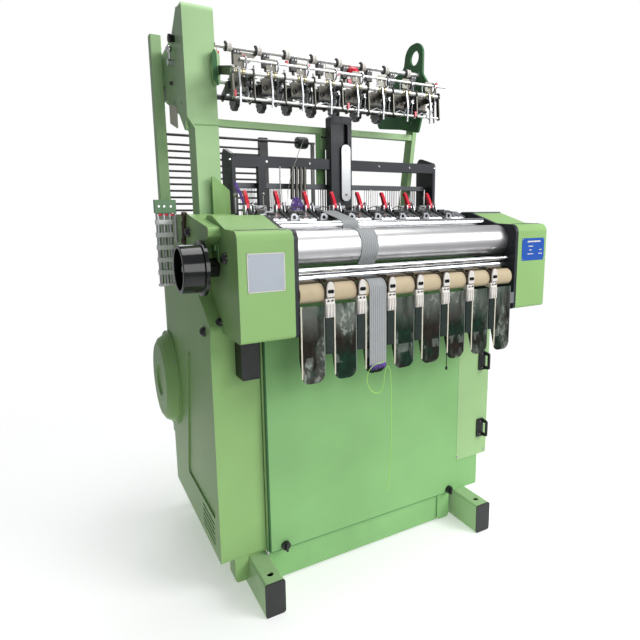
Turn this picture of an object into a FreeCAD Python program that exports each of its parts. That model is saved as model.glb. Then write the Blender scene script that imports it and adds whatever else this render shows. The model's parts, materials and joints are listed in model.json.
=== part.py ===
"""Eight-head needle loom for narrow ribbons and webbing.

Sizes are millimetres. While it is drawn, x = 0 is the middle of the weaving heads, y = 0 the
front of the feet, y grows towards the back and z = 0 is the floor. At the end every piece is
moved so that the origin is the middle of the machine's footprint.
"""
import FreeCAD, Part
import math
import os
from FreeCAD import Vector

# ---- driving dimensions -------------------------------------------------------------------
HEADS = 8                  # ribbons woven side by side
PITCH = 100.0              # head to head
SEAT = 0.3                 # gap between a moving piece and what it runs against
RUN = 0.05                 # radial clearance of a shaft in its bearing

FOOT_WIDTH = 61.5
FOOT_HEIGHT = 106.0
FOOT_WALL = 5.0
FOOT_LENGTH = 880.0
FOOT_LEFT_OUT = 111.0      # outer face of the left foot beyond the heads
FOOT_RIGHT_IN = 110.0      # inner face of the right foot short of the heads' end
CAP_THICK = 4.0
CAP_PLUG = 22.0
ANCHOR_RADIUS = 10.0
ANCHOR_INSET = 42.0        # anchor hole from each end of a foot

COLUMN_OUT = 195.0         # left face of the drive column beyond the heads
COLUMN_WIDTH = 141.0
COLUMN_FRONT = 140.0
COLUMN_BACK = 757.0
COLUMN_TOP = 1148.0
FRAME_BOTTOM = 113.0
CHEEK_TOP = 1120.0         # top of the right side frame

SHEET = 2.0                # cover sheet
COVER_DEPTH = 12.0         # folded edge of the front cover
COVER_FRONT = 118.0
COVER_TOP = 930.0
COVER_OUT = 45.0
SILL_SIZE = 60.0           # square rail behind the bottom of the front cover
KICK_FRONT = 136.0
KICK_THICK = 4.0
KICK_BOTTOM = 8.0
KICK_SHORT = 75.0          # kick panel ends short of the right foot
TAB_WIDTH = 54.0
KNOB_RADIUS = 14.0
KNOB_LENGTH = 18.0
KNOB_LEFT_IN = 46.0        # cover knobs from the ends of the cover
KNOB_RIGHT_IN = 34.0
KNOB_STEM = 5.0

CABINET_BOTTOM = 232.0
CABINET_WIDTH = 148.0
CABINET_BACK = 620.0
RIGHT_FRAME_WIDTH = 114.0
CABINET_SEAM = 1.5         # joint between front cover and cabinet
HANDLE_IN = 52.0           # handle from the right edge of the cabinet
HANDLE_BASE = 30.0
HANDLE_HEIGHT = 70.0
HANDLE_BAR = 9.0
HANDLE_PLATE = 6.0
HANDLE_REACH = 30.0
HANDLE_LEVELS = (340.0, 603.0)

SPAN_MIDDLE = -4.5
ROLLER_SPAN = HEADS * PITCH - 11.0      # between the end plates
END_PLATE = 12.0
BOX_BOTTOM = 822.0
BOX_TOP = 1107.0
BOX_FRONT = -32.0
BOX_BACK = 245.0
BOX_RISE = 1145.0          # top of the boxes at the back
SWITCH_INSET = 69.0        # switch box under the left drive box
SWITCH_WIDTH = 53.0
SWITCH_HEIGHT = 132.0
LEFT_BOX_WIDTH = 150.0
RIGHT_BOX_WIDTH = 136.0

ROLLER_RADIUS = 51.0       # take-up roller
ROLLER_Y = 53.0
ROLLER_Z = 1054.0
JOURNAL = 12.0
CHROME_RADIUS = 16.0
CHROME_Y = 130.0
CHROME_Z = 1112.0
PRESS_RADIUS = 26.0
PRESS_Y = -12.6
PRESS_Z = 936.0
PRESS_NECK = 8.0
LOWER_RADIUS = 20.0
LOWER_Y = 20.0
GUIDE_RADIUS = 7.5
GUIDE_Y = -6.0
GUIDE_ABOVE = 32.0         # guide rod above the clips
TENSION_RADIUS = 6.0       # bar that the webbing dips under, behind the take-up roller
TENSION_Y = 106.0
TENSION_Z = 1088.0

ROW_OFFSET = -13.5         # chutes, clips and press sleeves from the middle of their head

CHUTE_WIDTH = 70.0
CHUTE_SHEET = 1.5
CHUTE_FRONT = -36.0
CHUTE_TOP = 905.0
CHUTE_BOTTOM = 690.0
CHUTE_ROUND = 24.0
CHUTE_WALL = 14.0
CLIP_WIDTH = 26.0
CLIP_TOP = 965.0
CLIP_BOTTOM = 870.0
STRIP_BOTTOM = 767.0
STRIP_WIDTH = 24.0
RAIL_BOTTOM = 845.0
RAIL_HEIGHT = 37.0
RAIL_DEPTH = 8.5

WEB_WIDTH = 57.0
WEB_OFFSET = -9.0          # webbing from the middle of its head
WEB_THICK = 1.6
WEB_HEAD = 2               # head that carries the woven webbing
WEB_END = 715.0

BED_FRONT = 160.0
BED_BACK = 330.0
BED_BOTTOM = 1045.0
BED_TOP = 1118.0
HEAD_WIDTH = 70.0
HEAD_HEIGHT = 39.0
HEAD_FRONT = 205.0
HEAD_CREST = 280.0
LEVER_OFFSET = -75.0       # clamp lever from the middle of its head
LEVER_Y = 282.0
LEVER_Z = 1168.0
LEVER_PIN = 3.0

GANTRY_FRONT = 436.0
GANTRY_BACK = 548.0
GANTRY_OUT = 20.0
GANTRY_PLATE = 12.0
GANTRY_FOOT = 1048.0
GANTRY_FRONT_TOP = 1341.0
GANTRY_BACK_TOP = 1368.0
BEAM_HEIGHT = 36.0
BEAM_DEPTH = 30.0
CENTRE_LEFT = -58.0
CENTRE_WIDTH = 84.0
CENTRE_TOP = 1489.0

FRAME_COUNT = 3            # heddle frames
FRAME_FIRST_Y = 474.0
FRAME_GAP = 4.0
FRAME_THICK = 12.0
FRAME_LOW = 985.0
FRAME_HIGH = 1252.0
FRAME_RAIL = 17.0

SLEY_Y = 405.0
SLEY_PIVOT_Z = 930.0
SLEY_SHAFT = 12.0
REED_BOTTOM = 1085.0
REED_TOP = 1175.0
REED_WIDTH = 64.0

TOWER_IN = 45.0            # tower from the left face of the column
TOWER_WIDTH = 97.0
TOWER_NECK = 22.0          # step in from the tower's head to its post
TOWER_FRONT = 450.0
TOWER_DEPTH = 90.0
TOWER_SHOULDER = 1440.0
TOWER_TOP = 1790.0
SIDE_PLATE = 8.0
POST_WIDTH = 18.0
POST_DEPTH = 48.0
POST_LEAN = 0.171          # forward lean of the right post
EYE_IN = 56.0
EYE_HOLE = 27.0
REAR_POST_IN = 2.0
REAR_POST_SIZE = 38.0
REAR_POST_TOP = 1768.0

RING_ROD_Y = 458.5
RING_ROD_Z = 1675.0
RING_ROD_RADIUS = 8.0
FEED_Y = 300.0
FEED_Z = 1563.0
FEED_ROD = 7.0
THIN_ROD = 4.0
TIE_Y = 540.0
TIE_Z = 1585.0
WHEEL_Y = 622.0
WHEEL_Z = 1552.0
WHEEL_RADIUS = 42.0
WHEEL_WIDTH = 15.0
DISC_Y = 455.0
DISC_Z = 1562.0
DISC_RADIUS = 50.0
DISC_SHAFT = 8.0
HANGER_OFFSET = -35.0      # feeder bracket from the middle of its head
BRACKET_THICK = 3.0
ARM_THICK = 6.0
LOW_ROD_Y = 294.0
LOW_ROD_Z = 1487.0
WHEEL_SHAFT = 9.0

WHEEL_HUB_Y = 150.0
WHEEL_HUB_Z = 1004.0
HANDWHEEL_RADIUS = 76.0
HANDWHEEL_LENGTH = 66.0
HANDWHEEL_GAP = 5.0        # from the column's face
HUB_RADIUS = 26.0
RACK_OUT = 65.0            # strap rack beyond the column's face

# ---- positions that follow ----------------------------------------------------------------
HALF_SPAN = HEADS * PITCH / 2
LEFT_OUTER = -HALF_SPAN - COLUMN_OUT
FOOT_LEFT = -HALF_SPAN - FOOT_LEFT_OUT
FOOT_RIGHT = HALF_SPAN - FOOT_RIGHT_IN
COVER_LEFT = -HALF_SPAN - COVER_OUT
KICK_RIGHT = FOOT_RIGHT - KICK_SHORT
KNOB_LEFT_X = COVER_LEFT + KNOB_LEFT_IN
KNOB_RIGHT_X = FOOT_RIGHT - KNOB_RIGHT_IN
CABINET_RIGHT = FOOT_RIGHT + CABINET_WIDTH
GANTRY_HALF = HALF_SPAN + GANTRY_OUT
TOWER_LEFT = LEFT_OUTER + TOWER_IN
EYE_X = HALF_SPAN - EYE_IN
REAR_POST_LEFT = LEFT_OUTER + REAR_POST_IN
HANDWHEEL_LEFT = LEFT_OUTER - HANDWHEEL_GAP - HANDWHEEL_LENGTH
GUIDE_Z = CLIP_TOP + GUIDE_ABOVE
COLUMN_RIGHT = LEFT_OUTER + COLUMN_WIDTH
FRAME_RIGHT = FOOT_RIGHT + RIGHT_FRAME_WIDTH
INNER_LEFT = SPAN_MIDDLE - ROLLER_SPAN / 2
INNER_RIGHT = SPAN_MIDDLE + ROLLER_SPAN / 2
LEFT_BOX_RIGHT = INNER_LEFT - END_PLATE
LEFT_BOX_LEFT = LEFT_BOX_RIGHT - LEFT_BOX_WIDTH
RIGHT_BOX_LEFT = INNER_RIGHT + END_PLATE
RIGHT_BOX_RIGHT = RIGHT_BOX_LEFT + RIGHT_BOX_WIDTH
COVER_BACK = COVER_FRONT + COVER_DEPTH
TOWER_RIGHT = TOWER_LEFT + TOWER_WIDTH
GANTRY_INNER = GANTRY_HALF - GANTRY_PLATE
CHUTE_BACK = CHUTE_FRONT + CHUTE_SHEET
HEAD_TOP = BED_TOP + HEAD_HEIGHT
REACH = PRESS_RADIUS + LOWER_RADIUS + WEB_THICK + 5 * SEAT
LOWER_Z = PRESS_Z + math.sqrt(REACH ** 2 - (LOWER_Y - PRESS_Y) ** 2)

parts = {}


def head_x(i):
    """Middle of head number i."""
    return (i - (HEADS - 1) / 2) * PITCH


# ---- shape helpers ------------------------------------------------------------------------
def box(x0, x1, y0, y1, z0, z1):
    """A block between two corners."""
    return Part.makeBox(x1 - x0, y1 - y0, z1 - z0, Vector(x0, y0, z0))


def rod_x(x0, x1, y, z, r):
    """A round bar along X."""
    return Part.makeCylinder(r, x1 - x0, Vector(x0, y, z), Vector(1, 0, 0))


def rod_y(y0, y1, x, z, r):
    """A round bar along Y."""
    return Part.makeCylinder(r, y1 - y0, Vector(x, y0, z), Vector(0, 1, 0))


def rod_z(z0, z1, x, y, r):
    """A round bar along Z."""
    return Part.makeCylinder(r, z1 - z0, Vector(x, y, z0), Vector(0, 0, 1))


def outline(points, place):
    """A closed face through (a, b, radius) corners, each rounded; place(a, b) gives the 3-D point."""
    count = len(points)
    ends = []
    for i, (a, b, r) in enumerate(points):
        here = Vector(a, b, 0)
        back = Vector(points[i - 1][0], points[i - 1][1], 0) - here
        ahead = Vector(points[(i + 1) % count][0], points[(i + 1) % count][1], 0) - here
        back.normalize()
        ahead.normalize()
        half = back.getAngle(ahead) / 2
        cut = r / math.tan(half)
        bulge = (back + ahead)
        bulge.normalize()
        middle = here + bulge * (r / math.sin(half) - r)
        ends.append((here + back * cut, middle, here + ahead * cut, r))
    edges = []
    for i, (start, middle, end, r) in enumerate(ends):
        following = ends[(i + 1) % count][0]
        if r > 0:
            edges.append(Part.Arc(place(start.x, start.y), place(middle.x, middle.y),
                                  place(end.x, end.y)).toShape())
        if (following - end).Length > 1e-6:
            edges.append(Part.LineSegment(place(end.x, end.y),
                                          place(following.x, following.y)).toShape())
    return Part.Face(Part.Wire(edges))


def slab_x(points, x0, x1):
    """A plate square to X, from rounded (y, z, radius) corners."""
    return outline(points, lambda a, b: Vector(x0, a, b)).extrude(Vector(x1 - x0, 0, 0))


def slab_y(points, y0, y1):
    """A plate square to Y, from rounded (x, z, radius) corners."""
    return outline(points, lambda a, b: Vector(a, y0, b)).extrude(Vector(0, y1 - y0, 0))


def slab_z(points, z0, z1):
    """A plate square to Z, from rounded (x, y, radius) corners."""
    return outline(points, lambda a, b: Vector(a, b, z0)).extrude(Vector(0, 0, z1 - z0))


def rect(a0, a1, b0, b1, r=0.0):
    """Corners of a rectangle with one radius."""
    return [(a0, b0, r), (a1, b0, r), (a1, b1, r), (a0, b1, r)]


def turned_x(profile, x, y, z):
    """A body turned about an X axis from (x, radius) points; the first and last lie on the axis."""
    corners = [Vector(x + a, y, z + r) for a, r in profile]
    face = Part.Face(Part.makePolygon(corners + [corners[0]]))
    return face.revolve(Vector(x, y, z), Vector(1, 0, 0), 360)


def together(shapes):
    """One solid from touching or crossing shapes."""
    body = shapes[0].fuse(shapes[1:])
    return body.removeSplitter()


def group(shapes):
    """Separate solids kept in one node."""
    return Part.makeCompound(shapes)


def add(name, shape):
    """Store a node."""
    parts[name] = shape


# ---- base ---------------------------------------------------------------------------------
def build_feet():
    """Two rectangular tubes along the machine, closed by moulded caps and drilled for anchors."""
    caps = []
    for name, x0 in (("foot_beam_left", FOOT_LEFT), ("foot_beam_right", FOOT_RIGHT)):
        x1 = x0 + FOOT_WIDTH
        y0, y1 = CAP_THICK, FOOT_LENGTH - CAP_THICK
        outer = slab_y(rect(x0, x1, 0, FOOT_HEIGHT, 8), y0, y1)
        bore = rect(x0 + FOOT_WALL, x1 - FOOT_WALL, FOOT_WALL, FOOT_HEIGHT - FOOT_WALL, 4)
        tube = outer.cut(slab_y(bore, y0, y1))
        for y in (ANCHOR_INSET, FOOT_LENGTH - ANCHOR_INSET):
            tube = tube.cut(rod_z(0, FOOT_HEIGHT, x0 + FOOT_WIDTH / 2, y, ANCHOR_RADIUS))
        add(name, tube)
        for front, way in ((0, 1), (FOOT_LENGTH - CAP_THICK, -1)):
            cap = slab_y(rect(x0, x1, 0, FOOT_HEIGHT, 8), front, front + CAP_THICK)
            inner = front + CAP_THICK if way > 0 else front - CAP_PLUG
            caps.append(cap.fuse(slab_y(bore, inner, inner + CAP_PLUG)))
    add("foot_caps", group(caps))


def column_side():
    """Outline of the drive column seen from the left."""
    return [(COLUMN_FRONT, FRAME_BOTTOM, 10), (COLUMN_BACK, FRAME_BOTTOM, 10),
            (COLUMN_BACK, 1060, 30), (700, COLUMN_TOP, 30), (321, COLUMN_TOP, 60),
            (100, 1114, 10), (104, 1090, 8), (190, 1052, 30), (238, 980, 30), (242, 916, 20),
            (127, 838, 16), (COLUMN_FRONT, 780, 60)]


def build_left_column():
    """Cast drive column with a recessed side panel, louvres and a leg on the left foot."""
    body = slab_x(column_side(), LEFT_OUTER, COLUMN_RIGHT)
    recess = slab_x([(168, 700, 14), (430, 712, 14), (540, 236, 14), (186, 236, 14)],
                    LEFT_OUTER, LEFT_OUTER + 5)
    body = body.cut(recess)
    for k in range(5):
        z = 142 + 17 * k
        body = body.cut(slab_x(rect(200, 340, z, z + 8, 3.5), LEFT_OUTER, LEFT_OUTER + 6))
    leg = slab_y(rect(FOOT_LEFT - 42, FOOT_LEFT, 37, FRAME_BOTTOM + 20, 9), COLUMN_FRONT + 2,
                 COLUMN_FRONT + 62)
    foot = box(FOOT_LEFT, COLUMN_RIGHT, COLUMN_FRONT + 10, COLUMN_BACK - 20, FOOT_HEIGHT, FRAME_BOTTOM)
    lug = box(COLUMN_RIGHT, -GANTRY_HALF, GANTRY_FRONT + 4, GANTRY_BACK - 4, GANTRY_FOOT, GANTRY_FOOT + 77)
    bracket = slab_y([(COLUMN_RIGHT - 36, COLUMN_TOP - 8, 0), (COLUMN_RIGHT + 20, COLUMN_TOP - 8, 0),
                      (COLUMN_RIGHT + 20, COLUMN_TOP + 75, 5), (COLUMN_RIGHT - 36, COLUMN_TOP + 125, 5)],
                     GANTRY_FRONT - 12, GANTRY_FRONT - 2)
    jamb = box(COLUMN_RIGHT, COVER_LEFT + 20, COVER_BACK, COVER_BACK + 6, FRAME_BOTTOM + SILL_SIZE,
               BOX_BOTTOM)
    body = together([body, leg, foot, lug, bracket, jamb])
    body = body.cut(rod_x(COLUMN_RIGHT - 20, COLUMN_RIGHT, SLEY_Y, SLEY_PIVOT_Z, SLEY_SHAFT + RUN))
    add("left_column", body)


def build_right_frame():
    """Right side frame: base box, bed support, upright, side cheek and the sill to the column."""
    base = box(FOOT_RIGHT, FRAME_RIGHT, COVER_BACK, COLUMN_BACK, FOOT_HEIGHT, BOX_BOTTOM)
    support = box(FOOT_RIGHT, INNER_RIGHT, BED_FRONT, BED_BACK, BOX_BOTTOM, BED_BOTTOM)
    upright = box(FOOT_RIGHT, GANTRY_HALF + 18, 552, COLUMN_BACK, BOX_BOTTOM, CHEEK_TOP)
    cheek = slab_x([(BOX_BACK, BOX_BOTTOM, 0), (COLUMN_BACK, BOX_BOTTOM, 0), (COLUMN_BACK, CHEEK_TOP, 12),
                    (BOX_BACK, CHEEK_TOP, 12)], GANTRY_HALF, GANTRY_HALF + 18)
    sill = box(COLUMN_RIGHT, FOOT_RIGHT, COVER_BACK, COVER_BACK + SILL_SIZE, FRAME_BOTTOM,
               FRAME_BOTTOM + SILL_SIZE)
    body = together([base, support, upright, cheek, sill])
    body = body.cut(rod_x(GANTRY_HALF, GANTRY_HALF + 18, SLEY_Y, SLEY_PIVOT_Z, SLEY_SHAFT + RUN))
    add("right_frame", body)


def build_back_panel():
    """Louvred back panel with the shelf folded along its top."""
    panel = box(COLUMN_RIGHT, FOOT_RIGHT, COLUMN_BACK - 4, COLUMN_BACK, FRAME_BOTTOM, 1100)
    for k in range(8):
        z = 620 + 26 * k
        panel = panel.cut(slab_y(rect(-240, 80, z, z + 8, 3.5), COLUMN_BACK - 4, COLUMN_BACK))
    shelf = box(COLUMN_RIGHT, FOOT_RIGHT, 655, COLUMN_BACK + 36, 1100, 1112)
    add("back_panel", together([panel, shelf]))


def build_covers():
    """Front cover, kick panel, right cabinet, handles and turning knobs."""
    x0, x1 = COVER_LEFT, FOOT_RIGHT
    step_x = INNER_LEFT + 1
    step_z = BOX_BOTTOM - 1
    low = FRAME_BOTTOM + 1
    cover = slab_y([(x0, low, 6), (x1, low, 6), (x1, COVER_TOP, 6), (step_x, COVER_TOP, 0),
                    (step_x, step_z, 0),
                    (x0, step_z, 0)], COVER_FRONT, COVER_BACK)
    hollow = slab_y([(x0 + SHEET, low + SHEET, 4), (x1 - SHEET, low + SHEET, 4),
                     (x1 - SHEET, COVER_TOP - SHEET, 4),
                     (step_x + SHEET, COVER_TOP - SHEET, 0), (step_x + SHEET, step_z - SHEET, 0),
                     (x0 + SHEET, step_z - SHEET, 0)], COVER_FRONT + SHEET, COVER_BACK)
    cover = cover.cut(hollow)
    knob_z = FRAME_BOTTOM + KNOB_RADIUS
    for name, x in (("cover_knob_left", KNOB_LEFT_X), ("cover_knob_right", KNOB_RIGHT_X)):
        stem_end = COVER_BACK + 10
        hole = rod_y(COVER_FRONT, stem_end, x, knob_z, KNOB_STEM + RUN)
        cover = cover.cut(hole)
        parts["right_frame"] = parts["right_frame"].cut(hole)
        grip = rod_y(COVER_FRONT - SEAT - KNOB_LENGTH, COVER_FRONT - SEAT, x, knob_z, KNOB_RADIUS)
        grip = grip.cut(box(x - KNOB_RADIUS, x - 3, COVER_FRONT - SEAT - KNOB_LENGTH,
                            COVER_FRONT - SEAT - 9, knob_z - KNOB_RADIUS, knob_z + KNOB_RADIUS))
        grip = grip.cut(box(x + 3, x + KNOB_RADIUS, COVER_FRONT - SEAT - KNOB_LENGTH,
                            COVER_FRONT - SEAT - 9, knob_z - KNOB_RADIUS, knob_z + KNOB_RADIUS))
        add(name, grip.fuse(rod_y(COVER_FRONT - SEAT, stem_end, x, knob_z, KNOB_STEM)))
    add("front_cover", cover)

    kick = box(COVER_LEFT, KICK_RIGHT, KICK_FRONT, KICK_FRONT + KICK_THICK, KICK_BOTTOM, FRAME_BOTTOM)
    tab = slab_y([(KICK_RIGHT, KICK_BOTTOM, 12), (KICK_RIGHT + TAB_WIDTH, KICK_BOTTOM, 12),
                  (KICK_RIGHT + TAB_WIDTH, FRAME_BOTTOM, 0), (KICK_RIGHT, FRAME_BOTTOM, 0)],
                 COVER_BACK, COVER_BACK + 14)
    add("kick_panel", group([kick, tab]))

    front = slab_y(rect(FOOT_RIGHT + CABINET_SEAM, CABINET_RIGHT, CABINET_BOTTOM, BOX_BOTTOM, 8),
                   COVER_FRONT + 1, COVER_BACK)
    side = box(FRAME_RIGHT, CABINET_RIGHT, COVER_BACK, CABINET_BACK, CABINET_BOTTOM, BOX_BOTTOM)
    add("right_cabinet", together([front, side]))

    handles = []
    x0, y0 = CABINET_RIGHT - HANDLE_IN, COVER_FRONT - HANDLE_REACH
    x1, y1 = x0 + HANDLE_BASE, COVER_FRONT + 1
    for z in HANDLE_LEVELS:
        half = HANDLE_HEIGHT / 2
        base = slab_y(rect(x0, x1, z - half, z + half, 3), y1 - HANDLE_PLATE, y1)
        loop = slab_x([(y0, z - half + 5, 6), (y1, z - half, 0), (y1, z + half, 0), (y0, z + half - 5, 6)],
                      x1 - HANDLE_PLATE, x1)
        window = box(x1 - HANDLE_PLATE, x1, y0 + HANDLE_BAR, y1 - HANDLE_PLATE, z - half + HANDLE_BAR + 5,
                     z + half - HANDLE_BAR - 5)
        handles.append(together([base, loop.cut(window)]))
    add("cabinet_handles", group(handles))


def build_belt_guard():
    """Round pressed guard over the motor belt, on the left side at the back."""
    radius, depth = 180.0, 44.0
    profile = [(0, 0), (0, radius), (-8, radius), (-8, radius - 10), (-depth + 10, radius - 26),
               (-depth, radius - 44), (-depth, 66), (-depth + 7, 60), (-depth + 7, 0)]
    add("belt_guard", turned_x(profile, LEFT_OUTER, 750, 530))


# ---- take-up section ----------------------------------------------------------------------
def box_side():
    """Outline of a head box seen from the side."""
    return [(BOX_FRONT, BOX_BOTTOM, 12), (BOX_BACK, BOX_BOTTOM, 0), (BOX_BACK, BOX_RISE, 10),
            (185, BOX_RISE, 30), (66, BOX_TOP + 3, 40), (BOX_FRONT, BOX_TOP, 26)]


def bearing_holes(plate, x0, x1):
    """Bore a plate for the rollers that end in it."""
    for y, z, r in ((ROLLER_Y, ROLLER_Z, JOURNAL + RUN), (CHROME_Y, CHROME_Z, 8 + RUN),
                    (LOWER_Y, LOWER_Z, 8 + RUN), (PRESS_Y, PRESS_Z, PRESS_NECK + RUN),
                    (GUIDE_Y, GUIDE_Z, GUIDE_RADIUS), (TENSION_Y, TENSION_Z, TENSION_RADIUS)):
        plate = plate.cut(rod_x(x0, x1, y, z, r))
    return plate


def build_head_boxes():
    """Left and right drive boxes with the dark bearing plates that face the rollers."""
    column = parts["left_column"]
    left = slab_x(box_side(), LEFT_BOX_LEFT, LEFT_BOX_RIGHT).cut(column)
    left = left.cut(rod_x(LEFT_BOX_LEFT, LEFT_BOX_LEFT + 30, WHEEL_HUB_Y, WHEEL_HUB_Z, 20 + RUN))
    add("head_box_left", left)
    add("head_box_right", slab_x(box_side(), RIGHT_BOX_LEFT, RIGHT_BOX_RIGHT))
    plates = []
    for x0 in (LEFT_BOX_RIGHT, INNER_RIGHT):
        plate = slab_x(box_side(), x0, x0 + END_PLATE)
        plates.append(bearing_holes(plate, x0, x0 + END_PLATE))
    add("end_plates", group(plates))
    x0 = LEFT_OUTER + SWITCH_INSET
    switch = slab_y(rect(x0, x0 + SWITCH_WIDTH, BOX_BOTTOM - SWITCH_HEIGHT, BOX_BOTTOM, 4), 84, COLUMN_FRONT)
    add("switch_box", switch.cut(column))


def build_handwheel():
    """Deep cup-shaped handwheel on the left, on its shaft into the drive box."""
    r, length, left = HANDWHEEL_RADIUS, HANDWHEEL_LENGTH, HANDWHEEL_LEFT
    web = length - 30
    reach = LEFT_BOX_LEFT - left
    profile = [(14, 0), (14, 18), (web, 18), (web, r - 20), (0, r - 20), (0, r - 13), (2, r - 11),
               (length - 12, r - 9), (length - 10, r), (length, r), (length, HUB_RADIUS),
               (reach - SEAT, HUB_RADIUS), (reach - SEAT, 20), (reach + 26, 20), (reach + 26, 0)]
    wheel = turned_x(profile, left, WHEEL_HUB_Y, WHEEL_HUB_Z)
    for k in range(6):
        angle = math.radians(60 * k + 15)
        wheel = wheel.cut(rod_x(left + web, left + web + 8, WHEEL_HUB_Y + 37 * math.cos(angle),
                                WHEEL_HUB_Z + 37 * math.sin(angle), 7))
    add("handwheel", wheel)


def roller(name, y, z, radius, neck, sections):
    """A turned roller between the end plates; sections are (x0, x1) runs at full radius."""
    gap = 0.5
    shapes = [rod_x(INNER_LEFT - END_PLATE + 1, INNER_RIGHT + END_PLATE - 1, y, z, neck)]
    for x0, x1 in sections:
        run = rod_x(max(x0, INNER_LEFT + gap), min(x1, INNER_RIGHT - gap), y, z, radius)
        shapes.append(run)
    add(name, together(shapes))


def build_rollers():
    """Take-up, chrome, lower and press rollers."""
    full = [(INNER_LEFT, INNER_RIGHT)]
    roller("take_up_roller", ROLLER_Y, ROLLER_Z, ROLLER_RADIUS, JOURNAL, full)
    roller("chrome_roller", CHROME_Y, CHROME_Z, CHROME_RADIUS, 8, full)
    roller("lower_roller", LOWER_Y, LOWER_Z, LOWER_RADIUS, 8, full)
    half = CHUTE_WIDTH / 2
    middles = [head_x(i) + ROW_OFFSET for i in range(HEADS)]
    sections = [(x - half, x + half) for x in middles]
    roller("press_roller", PRESS_Y, PRESS_Z, PRESS_RADIUS, PRESS_NECK, sections)


def build_chutes():
    """Fixed bars, bent stainless chutes, moulded roller clips and their dark strips."""
    bars = [rod_x(INNER_LEFT - END_PLATE, INNER_RIGHT + END_PLATE, y, z, r)
            for y, z, r in ((GUIDE_Y, GUIDE_Z, GUIDE_RADIUS), (TENSION_Y, TENSION_Z, TENSION_RADIUS))]
    rail = box(INNER_LEFT, INNER_RIGHT, CHUTE_BACK, CHUTE_BACK + RAIL_DEPTH, RAIL_BOTTOM,
               RAIL_BOTTOM + RAIL_HEIGHT)
    add("guide_bars", group(bars + [rail]))
    chutes = []
    for i in range(HEADS):
        middle = head_x(i) + ROW_OFFSET
        x0, x1 = middle - CHUTE_WIDTH / 2, middle + CHUTE_WIDTH / 2
        corners = [(x0, CHUTE_BOTTOM, CHUTE_ROUND), (x1, CHUTE_BOTTOM, CHUTE_ROUND), (x1, CHUTE_TOP, 0),
                   (x0, CHUTE_TOP, 0)]
        sheet = slab_y(corners, CHUTE_FRONT, CHUTE_BACK)
        wall = [(CHUTE_FRONT, CHUTE_BOTTOM + CHUTE_ROUND, 0), (CHUTE_BACK, CHUTE_BOTTOM + CHUTE_ROUND, 0),
                (CHUTE_BACK + CHUTE_WALL, CHUTE_BOTTOM + 70, 6), (CHUTE_BACK + CHUTE_WALL, RAIL_BOTTOM, 0),
                (CHUTE_FRONT, RAIL_BOTTOM, 0)]
        walls = [slab_x(wall, x, x + CHUTE_SHEET) for x in (x0, x1 - CHUTE_SHEET)]
        chutes.append(together([sheet] + walls))
    add("chutes", group(chutes))

    clips, strips = [], []
    for i in range(HEADS - 1):
        x = head_x(i) + ROW_OFFSET + PITCH / 2
        x0, x1 = x - CLIP_WIDTH / 2, x + CLIP_WIDTH / 2
        front = CHUTE_BACK - 10
        side = [(front, CLIP_BOTTOM, 3), (CHUTE_BACK, CLIP_BOTTOM, 0), (CHUTE_BACK, 900, 4),
                (PRESS_Y + 14, 918, 8), (PRESS_Y + 17, 950, 10), (PRESS_Y + 6, CLIP_TOP, 8),
                (front + 10, CLIP_TOP - 4, 10), (front - 3, 930, 10), (front + 2, 896, 8)]
        clip = slab_x(side, x0, x1)
        clip = clip.cut(rod_x(x0, x1, PRESS_Y, PRESS_Z, PRESS_NECK + RUN))
        slot = slab_y(rect(x - 6, x + 6, 918, 946, 5.9), front - 8, front + 7)
        clips.append(clip.cut(slot))
        strips.append(box(x - STRIP_WIDTH / 2, x + STRIP_WIDTH / 2, CHUTE_BACK - 4, CHUTE_BACK,
                          STRIP_BOTTOM, CLIP_BOTTOM))
    add("roller_clips", group(clips + strips))


def strip_path(circles, start, end, near, far):
    """Edges of one face of a strip led round circles (y, z, radius, way) from start to end.

    The strip runs over the top of a circle of way 1, at the distance near, and under a circle of
    way -1, at the distance far.
    """
    stops = [(*start, near)] + [(y, z, r + near if way > 0 else -r - far) for y, z, r, way in circles]
    stops.append((*end, near))
    edges = []
    last = None
    for (ya, za, ra), (yb, zb, rb) in zip(stops, stops[1:]):
        along = Vector(0, yb - ya, zb - za)
        distance = along.Length
        along.normalize()
        tilt = (ra - rb) / distance
        normal = along * tilt + Vector(0, along.z, -along.y) * math.sqrt(1 - tilt ** 2)
        leave = Vector(0, ya, za) + normal * ra
        arrive = Vector(0, yb, zb) + normal * rb
        if last is not None:
            first = math.atan2(last.z - za, last.y - ya)
            second = math.atan2(leave.z - za, leave.y - ya)
            turn = (second - first) % (2 * math.pi) if ra > 0 else -((first - second) % (2 * math.pi))
            half = first + turn / 2
            middle = Vector(0, ya + abs(ra) * math.cos(half), za + abs(ra) * math.sin(half))
            edges.append(Part.Arc(last, middle, leave).toShape())
        edges.append(Part.LineSegment(leave, arrive).toShape())
        last = arrive
    return edges


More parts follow.
